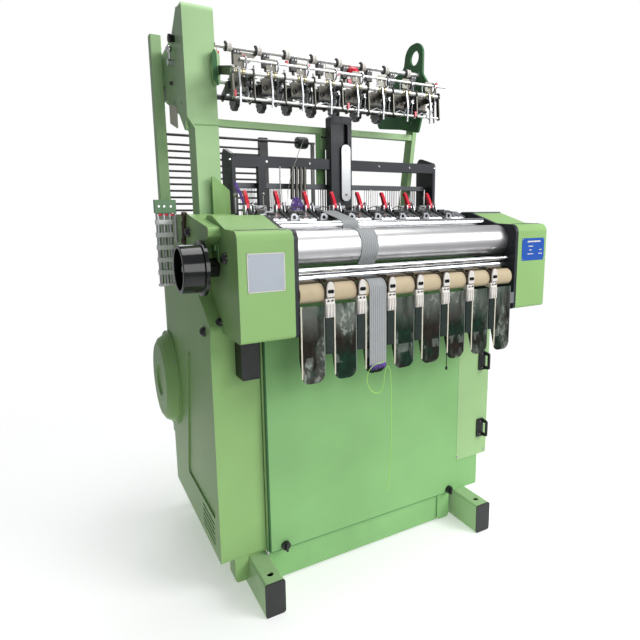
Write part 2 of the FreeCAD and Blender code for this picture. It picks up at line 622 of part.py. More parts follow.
def build_webbing():
    """Woven webbing from its head, in and out between the rollers, and down the chute."""
    x = head_x(WEB_HEAD) + WEB_OFFSET
    circles = [(CHROME_Y, CHROME_Z, CHROME_RADIUS, 1), (TENSION_Y, TENSION_Z, TENSION_RADIUS, -1),
               (ROLLER_Y, ROLLER_Z, ROLLER_RADIUS, 1), (LOWER_Y, LOWER_Z, LOWER_RADIUS, -1),
               (PRESS_Y, PRESS_Z, PRESS_RADIUS, 1)]
    start = (HEAD_CREST - 14, HEAD_TOP - 2)
    end = (PRESS_Y - PRESS_RADIUS - 0.2, WEB_END)
    near, far = 2 * SEAT, 2 * SEAT + WEB_THICK
    inner = strip_path(circles, start, end, near, far)
    outer = strip_path(circles, start, end, far, near)
    first, last = inner[0].valueAt(inner[0].FirstParameter), inner[-1].valueAt(inner[-1].LastParameter)
    far_first, far_last = outer[0].valueAt(outer[0].FirstParameter), outer[-1].valueAt(outer[-1].LastParameter)
    ends = [Part.LineSegment(last, far_last).toShape(), Part.LineSegment(far_first, first).toShape()]
    web = Part.Face(Part.Wire(Part.__sortEdges__(inner + outer + ends)))
    web.translate(Vector(x - WEB_WIDTH / 2, 0, 0))
    print("webbing %.1f mm long" % (sum(edge.Length for edge in inner)))
    add("webbing", web.extrude(Vector(WEB_WIDTH, 0, 0)))


# ---- weaving section ----------------------------------------------------------------------
def build_bed():
    """Cast breast bed with a machined head block for every ribbon."""
    front = box(INNER_LEFT, INNER_RIGHT, BED_FRONT, BOX_BACK, BED_BOTTOM, BED_TOP)
    back = box(COLUMN_RIGHT, GANTRY_HALF, BOX_BACK, BED_BACK, BED_BOTTOM, BED_TOP)
    add("breast_bed", together([front, back]))
    blocks = []
    side = [(HEAD_FRONT, BED_TOP, 0), (BED_BACK, BED_TOP, 0), (BED_BACK, HEAD_TOP - 7, 4),
            (HEAD_CREST, HEAD_TOP, 4),
            (HEAD_FRONT + 5, HEAD_TOP - 23, 6)]
    for i in range(HEADS):
        x = head_x(i)
        block = slab_x(side, x - HEAD_WIDTH / 2, x + HEAD_WIDTH / 2)
        notch = box(x + PITCH + LEVER_OFFSET - 13, x + HEAD_WIDTH / 2 + 1, LEVER_Y - 18, BED_BACK, BED_TOP,
                    HEAD_TOP)
        slots = [box(x + dx, x + dx + 6, HEAD_FRONT, HEAD_FRONT + 30, HEAD_TOP - 26,
                     HEAD_TOP) for dx in (-26, -3, 20)]
        blocks.append(block.cut([notch] + slots))
        lever_x = x + LEVER_OFFSET
        for ear_x in (lever_x - 8, lever_x + 8):
            ear = slab_x([(LEVER_Y - 12, BED_TOP, 0), (LEVER_Y + 20, BED_TOP, 0),
                          (LEVER_Y + 9, LEVER_Z + 8, 6),
                          (LEVER_Y - 9, LEVER_Z + 8, 6)], ear_x - 2.5, ear_x + 2.5)
            blocks.append(ear.cut(rod_x(ear_x - 3, ear_x + 3, LEVER_Y, LEVER_Z, LEVER_PIN + RUN)))
    add("weaving_heads", group(blocks))


def build_levers():
    """Red-gripped clamp levers, each on its pin between two ears."""
    for i in range(HEADS):
        x = head_x(i) + LEVER_OFFSET
        corners = [(-8, -8, 5), (9, -8, 5), (10, 8, 5), (21, 34, 8), (32, 48, 5), (20, 53, 5), (8, 36, 8),
                   (-7, 10, 6)]
        lever = slab_x([(LEVER_Y + y, LEVER_Z + z, r) for y, z, r in corners], x - 5, x + 5)
        pin = rod_x(x - 11, x + 11, LEVER_Y, LEVER_Z, LEVER_PIN)
        add("clamp_lever_%d" % (i + 1), together([lever, pin]))


def build_needles():
    """Weft needles on the bar that drives them across the sheds."""
    y0 = BED_BACK + SEAT
    z0 = BED_TOP - 20
    tip = HEAD_TOP - 10
    bar = box(head_x(0) - 44, head_x(HEADS - 1) + 36, y0, y0 + 8, z0, z0 + 14)
    shapes = [bar]
    for i in range(HEADS):
        x = head_x(i)
        shapes.append(box(x - 42, x - 34, y0, y0 + 8, z0, tip + 6))
        shapes.append(slab_y([(x - 42, tip, 0), (x + 14, tip + 2, 0), (x + 22, tip + 4, 0),
                              (x - 34, tip + 8, 0)],
                             y0 + 2, y0 + 6))
    add("weft_needles", together(shapes))


def build_sley():
    """Sley with one reed for each ribbon, on its rocking shaft."""
    x0, x1 = head_x(0) - 44, head_x(HEADS - 1) + 44
    shaft = rod_x(COLUMN_RIGHT - 18, GANTRY_HALF + 16, SLEY_Y, SLEY_PIVOT_Z, SLEY_SHAFT)
    bar = box(x0, x1, SLEY_Y - 12, SLEY_Y + 12, REED_BOTTOM - 26, REED_BOTTOM)
    shapes = [shaft, bar]
    for x in (x0 + 60, SPAN_MIDDLE, x1 - 60):
        shapes.append(box(x - 12, x + 12, SLEY_Y - 10, SLEY_Y + 10, SLEY_PIVOT_Z, REED_BOTTOM - 26))
    for i in range(HEADS):
        x = head_x(i)
        frame = box(x - REED_WIDTH / 2, x + REED_WIDTH / 2, SLEY_Y - 4, SLEY_Y + 4, REED_BOTTOM, REED_TOP)
        for k in range(13):
            slot_x = x - 27 + 4.5 * k
            frame = frame.cut(box(slot_x - 1.1, slot_x + 1.1, SLEY_Y - 4, SLEY_Y + 4, REED_BOTTOM + 8,
                                  REED_TOP - 8))
        shapes.append(frame)
    add("sley", together(shapes))


def build_heddle_frames():
    """Heddle frames sliding between the gantry plates."""
    x1 = GANTRY_INNER - SEAT
    for n in range(FRAME_COUNT):
        y0 = FRAME_FIRST_Y + n * (FRAME_THICK + FRAME_GAP)
        frame = box(-x1, x1, y0, y0 + FRAME_THICK, FRAME_LOW, FRAME_HIGH)
        window = box(-x1 + FRAME_RAIL, x1 - FRAME_RAIL, y0, y0 + FRAME_THICK, FRAME_LOW + FRAME_RAIL,
                     FRAME_HIGH - FRAME_RAIL)
        shapes = [frame.cut(window)]
        for i in range(HEADS):
            for k in range(5):
                x = head_x(i) - 20 + 10 * k
                shapes.append(box(x - 0.6, x + 0.6, y0 + FRAME_THICK / 2 - 0.6, y0 + FRAME_THICK / 2 + 0.6,
                                  FRAME_LOW + FRAME_RAIL, FRAME_HIGH - FRAME_RAIL))
        add("heddle_frame_%d" % (n + 1), together(shapes))


def build_gantry():
    """Dark portal behind the heads: two plates, a beam, a post and the centre box."""
    side = [(GANTRY_FRONT, GANTRY_FOOT, 0), (GANTRY_BACK, GANTRY_FOOT, 0),
            (GANTRY_BACK, GANTRY_BACK_TOP - 20, 16),
            (GANTRY_BACK - 20, GANTRY_BACK_TOP, 16), (GANTRY_FRONT, GANTRY_FRONT_TOP, 14)]
    add("gantry_plates", group([slab_x(side, x0, x0 + GANTRY_PLATE) for x0 in (-GANTRY_HALF, GANTRY_INNER)]))
    top = GANTRY_FRONT_TOP - 2
    beam = box(-GANTRY_INNER, GANTRY_INNER, GANTRY_FRONT, GANTRY_FRONT + BEAM_DEPTH, top - BEAM_HEIGHT, top)
    centre = slab_y(rect(CENTRE_LEFT, CENTRE_LEFT + CENTRE_WIDTH, BED_TOP + 30, CENTRE_TOP, 10),
                    GANTRY_FRONT - 8, GANTRY_FRONT + BEAM_DEPTH + 4)
    slot = slab_y(rect(CENTRE_LEFT + 50, CENTRE_LEFT + 68, 1380, 1462, 8), GANTRY_FRONT - 8,
                  GANTRY_FRONT + 12)
    centre = centre.cut(slot)
    post_x = -330.0
    post = box(post_x, post_x + 26, GANTRY_FRONT, GANTRY_FRONT + 24, 1150, top - BEAM_HEIGHT)
    add("centre_box", centre)
    bar = slab_y(rect(-20, 15, 1192, 1390, 17), GANTRY_FRONT - 16, GANTRY_FRONT - 8)
    bar = bar.cut(rod_y(GANTRY_FRONT - 16, GANTRY_FRONT - 8, -2.5, 1372, 6))
    add("gantry_beam", group([together([beam.cut(centre), post]), bar]))


# ---- upper structure ----------------------------------------------------------------------
def build_tower():
    """Left tower with its rear side plate, standing on the drive column."""
    x0, x1 = TOWER_LEFT, TOWER_RIGHT
    neck = x0 + TOWER_NECK
    side = slab_x([(TOWER_FRONT, COLUMN_TOP, 0), (TOWER_FRONT + TOWER_DEPTH, COLUMN_TOP, 0),
                   (TOWER_FRONT + TOWER_DEPTH, TOWER_TOP - 60, 30), (TOWER_FRONT + 70, TOWER_TOP + 14, 16),
                   (TOWER_FRONT + 6, TOWER_TOP - 8, 24)], x0, x1)
    face = slab_y([(neck, COLUMN_TOP, 0), (x1, COLUMN_TOP, 0), (x1, TOWER_TOP + 20, 26),
                   (x0, TOWER_TOP + 20, 34),
                   (x0, TOWER_SHOULDER + 10, 14), (neck, TOWER_SHOULDER - 24, 14)],
                  TOWER_FRONT, TOWER_FRONT + TOWER_DEPTH)
    plate = slab_x([(TOWER_FRONT + 30, TOWER_SHOULDER - 40, 10), (560, TOWER_SHOULDER + 30, 30),
                    (800, 1556, 20),
                    (868, 1640, 20), (862, 1706, 16), (620, 1724, 40), (530, TOWER_TOP, 10),
                    (TOWER_FRONT + 40, TOWER_TOP - 10, 10)], x0, x0 + SIDE_PLATE)
    block = slab_y([(x1 - 9, 1545, 3), (x1 + ARM_THICK, 1552, 0), (x1 + ARM_THICK, 1635, 0),
                    (x1 - 7, 1655, 3),
                    (x1 - 19, 1600, 20)], TOWER_FRONT - 24, TOWER_FRONT)
    add("left_tower", together([side.common(face), plate, block]))


def build_right_post():
    """Leaning right post, its eye plate, and the beam across to the tower."""
    top = 1640.0
    base = CHEEK_TOP
    front = 558.0

    def edge(z):
        """Front edge of the leaning post at height z."""
        return front - (z - base) * POST_LEAN

    x0 = EYE_X + SIDE_PLATE
    post = slab_x([(edge(base), base, 0), (edge(base) + POST_DEPTH, base, 0),
                   (edge(top) + POST_DEPTH, top, 0), (edge(top), top, 0)], x0, x0 + POST_WIDTH)
    beam = box(TOWER_RIGHT, x0, 505, 538, 1436, 1458)
    bracket = box(-62, -39, 505, 538, 1380, 1436)
    add("right_post", together([post, beam, bracket]))
    plate = slab_x([(456, 1459, 12), (572, 1486, 60), (744, 1512, 24), (770, 1586, 24), (635, 1697, 40),
                    (556, 1717, 30), (540, 1796, 50), (430, 1800, 50), (432, 1676, 20), (394, 1630, 20)],
                   EYE_X, EYE_X + SIDE_PLATE)
    plate = plate.cut(rod_x(EYE_X, EYE_X + SIDE_PLATE, 484, 1744, EYE_HOLE))
    for y, z, r in ((RING_ROD_Y, RING_ROD_Z, RING_ROD_RADIUS), (TIE_Y, TIE_Z, RING_ROD_RADIUS),
                    (WHEEL_Y, WHEEL_Z, WHEEL_SHAFT + RUN)):
        plate = plate.cut(rod_x(EYE_X, EYE_X + SIDE_PLATE, y, z, r))
    add("eye_plate", plate)


def build_rear():
    """Rear-left post, green cross arm to the tower plate, and the warp guide grid."""
    x0 = REAR_POST_LEFT
    y0 = COLUMN_BACK
    post = slab_z(rect(x0, x0 + REAR_POST_SIZE, y0, y0 + 40, 4), 300, REAR_POST_TOP)
    link = box(x0 + REAR_POST_SIZE, TOWER_LEFT, y0 + 4, y0 + 30, 1600, 1690)
    add("rear_post", together([post, link]))
    grid_right = -201.0
    rods = [rod_x(x0 + REAR_POST_SIZE, grid_right, y0 + 20, 1162 + 24 * k, 4) for k in range(11)]
    upright = box(grid_right, grid_right + 34, y0 + 8, y0 + 32, 1112, 1446)
    top = rod_x(x0 + REAR_POST_SIZE, 37, y0 + 3, 1434, 5)
    stand = box(20, 34, y0 - 2, y0 + 8, 1112, 1434)
    add("guide_grid", group(rods + [together([upright, top, stand])]))


def build_strap_rack():
    """Small rack of three tubes on the left side, wound with flat straps."""
    x0, x1 = LEFT_OUTER - RACK_OUT, LEFT_OUTER
    y0, y1 = 478.0, 502.0
    top = slab_x([(y0, 1152, 0), (y1, 1152, 0), (y1, 1194, 4), (y0, 1194, 4)], x0, x1)
    flange = box(x1 - 4, x1, y0, y1, 1060, 1152)
    low = box(x0, x1, y0, y1, 918, 926)
    xs = [x0 + 9 + 18.5 * k for k in range(3)]
    tubes = [rod_z(926, 1152, x, (y0 + y1) / 2, 7.0) for x in xs]
    add("strap_rack", group([top.fuse(flange), low] + tubes))
    straps = []
    for k in range(5):
        z = 956 + 40 * k
        outer = slab_z(rect(xs[0] - 9.5, xs[2] + 9.5, y0 + 2.5, y1 - 2.5, 9), z, z + 15)
        inner = slab_z(rect(xs[0] - 7.8, xs[2] + 7.8, y0 + 4.2, y1 - 4.2, 7.5), z, z + 15)
        straps.append(outer.cut(inner))
    add("wound_straps", group(straps))


def build_start_lever():
    """Start handle: chrome stalk with a red ball, pivoted on the tower plate."""
    y, z = 600.0, 1640.0
    hub = rod_x(TOWER_LEFT - 20, TOWER_LEFT - SEAT, y, z, 11)
    pin = rod_x(TOWER_LEFT - SEAT, TOWER_LEFT + SIDE_PLATE, y, z, 5)
    stalk = rod_z(z, z + 34, TOWER_LEFT - 13, y, 4)
    ball = Part.makeSphere(11, Vector(TOWER_LEFT - 13, y, z + 42))
    add("start_lever", together([hub, pin, stalk, ball]))
    parts["left_tower"] = parts["left_tower"].cut(
        rod_x(TOWER_LEFT, TOWER_LEFT + SIDE_PLATE, y, z, 5 + RUN))


# ---- yarn feeding -------------------------------------------------------------------------
def link_x(first, second, half, x0, x1):
    """A flat link square to X with round ends, between two (y, z) points."""
    along = Vector(0, second[0] - first[0], second[1] - first[1])
    along.normalize()
    side = Vector(0, -along.z, along.y) * half
    corners = [(y + way * side.y, z + way * side.z, 0) for (y, z), way in
               ((first, 1), (first, -1), (second, -1), (second, 1))]
    ends = [rod_x(x0, x1, y, z, half) for y, z in (first, second)]
    return slab_x(corners, x0, x1).fuse(ends)


def bored(shape, x0, x1, spots):
    """Bore a plate square to X at (y, z, radius) spots."""
    for y, z, r in spots:
        shape = shape.cut(rod_x(x0, x1, y, z, r))
    return shape


def build_feeder():
    """Feeder rods, rings, hangers, brackets and front plates above the heads."""
    left, right = TOWER_RIGHT, EYE_X
    arm_right = left + ARM_THICK
    rods = [rod_x(left, right + SIDE_PLATE + 20, RING_ROD_Y, RING_ROD_Z, RING_ROD_RADIUS),
            rod_x(left, right + SIDE_PLATE, TIE_Y, TIE_Z, RING_ROD_RADIUS)]
    rings, plates, fronts = [], [], []
    for i in range(HEADS):
        middle = head_x(i)
        x = middle - 57
        rings.append(rod_x(x - 11, x + 11, RING_ROD_Y, RING_ROD_Z, 14).cut(
            rod_x(x - 11, x + 11, RING_ROD_Y, RING_ROD_Z, RING_ROD_RADIUS)))
        x = middle + HANGER_OFFSET
        hanger = slab_y(rect(x - 9, x + 9, RING_ROD_Z - 44, RING_ROD_Z + 12, 2), RING_ROD_Y - 11,
                        RING_ROD_Y + 11)
        rings.append(hanger.cut(rod_x(x - 9, x + 9, RING_ROD_Y, RING_ROD_Z, RING_ROD_RADIUS)))
        x0, x1 = x - BRACKET_THICK / 2, x + BRACKET_THICK / 2
        disc, front, tie, wheel = (DISC_Y, DISC_Z), (FEED_Y, FEED_Z), (TIE_Y, TIE_Z), (WHEEL_Y, WHEEL_Z)
        bracket = together([link_x(disc, (RING_ROD_Y, RING_ROD_Z - 54), 10, x0, x1),
                            link_x(disc, front, 13, x0, x1),
                            link_x(disc, tie, 15, x0, x1), link_x(tie, wheel, 15, x0, x1),
                            link_x(front, (LOW_ROD_Y, LOW_ROD_Z), 8, x0, x1)])
        plates.append(bored(bracket, x0, x1, ((*disc, DISC_SHAFT + RUN), (*front, FEED_ROD),
                                              (*tie, RING_ROD_RADIUS),
                                              (*wheel, WHEEL_SHAFT + RUN),
                                              (LOW_ROD_Y, LOW_ROD_Z, THIN_ROD))))
        upper = slab_y([(middle - 94, FEED_Z + 14, 4), (middle - 72, FEED_Z + 14, 0),
                        (middle - 72, FEED_Z + FEED_ROD, 0),
                        (middle - 62, FEED_Z + FEED_ROD, 0), (middle - 62, FEED_Z + 46, 4),
                        (middle - 94, FEED_Z + 46, 4)], FEED_Y - 2, FEED_Y + 1)
        fronts.append(upper.cut(rod_y(FEED_Y - 2, FEED_Y + 1, middle - 78, FEED_Z + 28, 4)))
        lower = slab_y([(middle - 84, 1570, 8), (middle - 82, 1516, 20), (x0, 1510, 16), (x0, 1572, 0)],
                       368, 371)
        fronts.append(lower.cut(rod_y(368, 371, middle - 66, 1541, 5)))
    add("ring_rod", group(rods + rings))
    arm = together([link_x((RING_ROD_Y - 18, FEED_Z + 32), (FEED_Y, FEED_Z), 13, left, arm_right),
                    link_x((FEED_Y, FEED_Z), (LOW_ROD_Y, LOW_ROD_Z), 8, left, arm_right)])
    arm = arm.cut(parts["left_tower"])
    plates.append(bored(arm, left, arm_right, ((FEED_Y, FEED_Z, FEED_ROD),
                                               (LOW_ROD_Y, LOW_ROD_Z, THIN_ROD))))
    add("feeder_plates", group(plates + fronts))
    end = head_x(HEADS - 1) + HANGER_OFFSET + 7
    add("feeder_rods", group([rod_x(left, end, FEED_Y, FEED_Z, FEED_ROD),
                              rod_x(head_x(0) - 76, EYE_X, FEED_Y - 2 - THIN_ROD, FEED_Z + 34, THIN_ROD),
                              rod_x(left, end, LOW_ROD_Y, LOW_ROD_Z, THIN_ROD)]))


def build_feeder_shafts():
    """Shaft of toothed feed wheels at the back, and shaft of spoked discs in the middle of the feeder."""
    shapes = [rod_x(TOWER_LEFT + SIDE_PLATE + SEAT, EYE_X + SIDE_PLATE, WHEEL_Y, WHEEL_Z, WHEEL_SHAFT)]
    for i in range(HEADS):
        x = head_x(i) - 92 - WHEEL_WIDTH / 2
        wheel = rod_x(x, x + WHEEL_WIDTH, WHEEL_Y, WHEEL_Z, WHEEL_RADIUS)
        for k in range(12):
            angle = math.radians(30 * k)
            wheel = wheel.cut(rod_x(x, x + WHEEL_WIDTH, WHEEL_Y + WHEEL_RADIUS * math.cos(angle),
                                    WHEEL_Z + WHEEL_RADIUS * math.sin(angle), 4.5))
        shapes.append(wheel)
    add("feeder_shaft", together(shapes))
    shapes = [rod_x(head_x(0) + HANGER_OFFSET - BRACKET_THICK, EYE_X - 2 * SEAT, DISC_Y, DISC_Z, DISC_SHAFT)]
    for i in range(HEADS):
        x = head_x(i) + (6 if i < HEADS - 1 else -22)
        disc = rod_x(x, x + 3, DISC_Y, DISC_Z, DISC_RADIUS)
        for k in range(6):
            angle = math.radians(60 * k)
            disc = disc.cut(rod_x(x, x + 3, DISC_Y + 30 * math.cos(angle), DISC_Z + 30 * math.sin(angle),
                                  12))
        shapes += [disc, rod_x(x - 8, x + 11, DISC_Y, DISC_Z, 14)]
    add("feed_discs", together(shapes))


def build_drop_levers():
    """Thread-watching levers that hang from the front feeder rod."""
    levers = []
    for i in range(HEADS):
        x = head_x(i) - 83
        front = FEED_Y - FEED_ROD - 4
        hub = rod_x(x - 4, x + 4, FEED_Y, FEED_Z, FEED_ROD + 4)
        arm = slab_x([(front - 3, FEED_Z + 4, 0), (front + 3, FEED_Z + 4, 0), (front - 8, FEED_Z - 50, 30),
                      (front - 5, FEED_Z - 98, 0), (front - 10, FEED_Z - 100, 0),
                      (front - 14, FEED_Z - 50, 30)],
                     x - 2.5, x + 2.5)
        levers.append(together([hub, arm]).cut(rod_x(x - 4, x + 4, FEED_Y, FEED_Z, FEED_ROD + RUN)))
    add("drop_levers", group(levers))


# ---- loose yarn ---------------------------------------------------------------------------
YARN_RADIUS = 1.0
YARN_ROUTE = [(-139, -42.3, 724), (-147, -45.5, 719), (-164, -47.5, 720), (-182, -47.5, 715),
              (-196, -47.5, 702),
              (-202, -47.5, 682), (-198, -47.5, 658), (-184, -47.5, 638), (-166, -47.5, 629),
              (-151, -47.5, 635),
              (-144, -47.5, 652), (-141, -47.5, 676), (-139, -47.5, 696), (-131, -47.5, 709),
              (-122, -47.5, 699),
              (-119, -47.5, 678), (-117, -47.5, 640), (-116, -47.5, 590), (-116, -47.5, 536),
              (-117, -47.5, 480),
              (-119, -47.5, 424), (-122, -47.5, 368), (-126, -47.5, 314)]


def build_yarn():
    """Loose thread from the webbing: loops in front of the chute, then a long hanging tail."""
    points = [Vector(x, y, z) for x, y, z in YARN_ROUTE]
    ends = [points[0]]
    edges = []
    for before, here, after in zip(points, points[1:], points[2:]):
        back, ahead = before - here, after - here
        shorter = min(back.Length, ahead.Length)
        back.normalize()
        ahead.normalize()
        half_turn = (math.pi - back.getAngle(ahead)) / 2
        cut = 0.45 * shorter
        radius = cut / math.tan(half_turn)
        start, end = here + back * cut, here + ahead * cut
        inward = back + ahead
        inward.normalize()
        centre = here + inward * (radius / math.cos(half_turn))
        middle = centre - inward * radius
        edges.append(Part.LineSegment(ends[-1], start).toShape())
        edges.append(Part.Arc(start, middle, end).toShape())
        ends.append(end)
    edges.append(Part.LineSegment(ends[-1], points[-1]).toShape())
    path = Part.Wire(edges)
    direction = points[1] - points[0]
    ring = Part.Wire(Part.Circle(points[0], direction, YARN_RADIUS).toShape())
    tube = path.makePipeShell([ring], True, False)
    print("yarn volume %.1f of %.1f" % (tube.Volume, math.pi * YARN_RADIUS ** 2 * path.Length))
    add("lime_yarn", tube)


# ---- assembly -----------------------------------------------------------------------------
def build_all():
    """Build every node, then move the model so that its footprint is centred on the origin."""
    build_feet()
    build_left_column()
    build_right_frame()
    build_back_panel()
    build_covers()
    build_belt_guard()
    build_head_boxes()
    build_handwheel()
    build_rollers()
    build_chutes()
    build_webbing()
    build_bed()
    build_levers()
    build_needles()
    build_sley()
    build_heddle_frames()
    build_gantry()
    build_tower()
    build_right_post()
    build_rear()
    build_strap_rack()
    build_start_lever()
    build_feeder()
    build_feeder_shafts()
    build_drop_levers()
    build_yarn()
    whole = Part.makeCompound([shape for name, shape in parts.items() if name != "lime_yarn"])
    extent = whole.optimalBoundingBox(True, False)
    shift = Vector(-(extent.XMin + extent.XMax) / 2, -(extent.YMin + extent.YMax) / 2, -extent.ZMin)
    print("shift %.3f %.3f %.3f" % (shift.x, shift.y, shift.z))
    for name in parts:
        parts[name].translate(shift)
    return shift


if __name__ == "__main__":
    build_all()
    os.makedirs("parts", exist_ok=True)
    for name, shape in parts.items():
        if not shape.isValid():
            print("not valid:", name)
        shape.exportStep("parts/%s.step" % name)
    print(len(parts), "nodes")
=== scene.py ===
"""Needle loom for narrow ribbons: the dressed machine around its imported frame.

Lengths in the classes are millimetres of the machine's own drawing, in which x = 0 is the middle of the
weaving heads, y = 0 just before the feet and z = 0 the floor. Datum turns them into metres of the frame.
"""
import json
import logging
import math
import random
from dataclasses import dataclass, field
from enum import Enum
from typing import Any, Sequence

import bmesh
import bpy
from mathutils import Matrix, Vector


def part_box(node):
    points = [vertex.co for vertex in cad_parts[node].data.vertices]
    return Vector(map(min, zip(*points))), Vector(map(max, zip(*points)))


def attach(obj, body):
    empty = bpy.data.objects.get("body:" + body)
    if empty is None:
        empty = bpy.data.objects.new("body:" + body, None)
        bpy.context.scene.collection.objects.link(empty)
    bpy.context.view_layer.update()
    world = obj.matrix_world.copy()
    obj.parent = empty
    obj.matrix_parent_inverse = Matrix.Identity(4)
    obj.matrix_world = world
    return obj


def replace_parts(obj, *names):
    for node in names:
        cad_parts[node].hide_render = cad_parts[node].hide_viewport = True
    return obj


LOG = logging.getLogger("loom")
Colour = tuple[float, float, float]
Point = Sequence[float]
Points = Sequence[Point]
Socket = bpy.types.NodeSocket
Object = bpy.types.Object
Material = bpy.types.Material

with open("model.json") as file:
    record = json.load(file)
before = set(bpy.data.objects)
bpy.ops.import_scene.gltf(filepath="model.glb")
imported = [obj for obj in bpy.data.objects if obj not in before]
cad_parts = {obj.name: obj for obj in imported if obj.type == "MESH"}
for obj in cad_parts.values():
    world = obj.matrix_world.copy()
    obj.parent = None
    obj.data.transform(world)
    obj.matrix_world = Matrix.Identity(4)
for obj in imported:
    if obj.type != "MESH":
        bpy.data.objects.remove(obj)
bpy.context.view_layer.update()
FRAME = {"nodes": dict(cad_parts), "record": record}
ROOT = "machine_frame"

HEADS = 8
PITCH = 100.0
CHUTE_SHIFT = 13.5  # a chute's middle lies this far to the left of its head's
MM = 0.001
FRONT, BACK = Vector((0, -1, 0)), Vector((0, 1, 0))
LEFT, RIGHT = Vector((-1, 0, 0)), Vector((1, 0, 0))


class Axis(Enum):
    """The three directions of the drawing."""

    X = 0
    Y = 1
    Z = 2


X, Y, Z = Axis


class Datum:
    """Turns the drawing's millimetres into the frame's metres, by the corner of the left foot."""

    FOOT_CORNER = Vector((-511.0, 4.0, 0.0))

    def __init__(self) -> None:
        """Reads the foot's corner from the frame."""
        self.shift = Vector(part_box("foot_beam_left")[0]) - self.FOOT_CORNER * MM

    def at(self, point: Point) -> Vector:
        """The frame point, in metres, of a point of the drawing."""
        return Vector(point) * MM + self.shift


DATUM = Datum()


def head_x(i: int) -> float:
    """Middle of head number i, in the drawing."""
    return (i - (HEADS - 1) / 2) * PITCH


def srgb(red: int, green: int, blue: int) -> Colour:
    """A screen colour of 0 to 255 as the linear colour that shaders use."""
    def one(v: int) -> float:
        """One channel."""
        c = v / 255
        return c / 12.92 if c <= 0.04045 else ((c + 0.055) / 1.055) ** 2.4
    return one(red), one(green), one(blue)


def toned(colour: Colour, factor: float, lift: float = 0.0) -> Colour:
    """A colour multiplied by a factor and raised by a lift, at most 1 in each channel."""
    return tuple(min(1.0, c * factor + lift) for c in colour)


def link(name: str, data: Any) -> Object:
    """Makes an object of that data in the scene."""
    made = bpy.data.objects.new(name, data)
    bpy.context.scene.collection.objects.link(made)
    return made


def soften(made: Object, angle: float) -> None:
    """Shades an object smooth, except at edges sharper than an angle in degrees."""
    made.data.shade_smooth()
    made.data.set_sharp_from_angle(angle=math.radians(angle))


# ---- shading ----
class Value:
    """A number in a node tree, which Python's operators turn into Math nodes."""

    def __init__(self, shade: "Shade", socket: Socket) -> None:
        """Wraps an output socket of a shade's tree."""
        self.shade = shade
        self.socket = socket

    def math(self, operation: str, *others: Any, clamp: bool = False) -> "Value":
        """Applies a Math node.

        Args:
            operation: the Math node's operation.
            others: numbers or values for its further sockets.
            clamp: whether the result is held between 0 and 1.

        Returns:
            The result.
        """
        sockets = dict(enumerate((self, *others)))
        return self.shade.value("ShaderNodeMath", {"operation": operation, "use_clamp": clamp}, sockets)

    def __add__(self, other: Any) -> "Value":
        """self + other."""
        return self.math("ADD", other)

    __radd__ = __add__

    def __mul__(self, other: Any) -> "Value":
        """self * other."""
        return self.math("MULTIPLY", other)

    __rmul__ = __mul__

    def __sub__(self, other: Any) -> "Value":
        """self - other."""
        return self.math("SUBTRACT", other)

    def __rsub__(self, other: Any) -> "Value":
        """other - self."""
        return (self * -1.0) + other

    def __truediv__(self, other: Any) -> "Value":
        """self / other."""
        return self.math("DIVIDE", other)

    def clamped(self) -> "Value":
        """self held between 0 and 1."""
        return self.math("ADD", 0.0, clamp=True)

    def above(self, edge: float, soft: float) -> "Value":
        """0 below edge and 1 above it, with a ramp of width soft between."""
        return ((self - edge) / soft + 0.5).clamped()


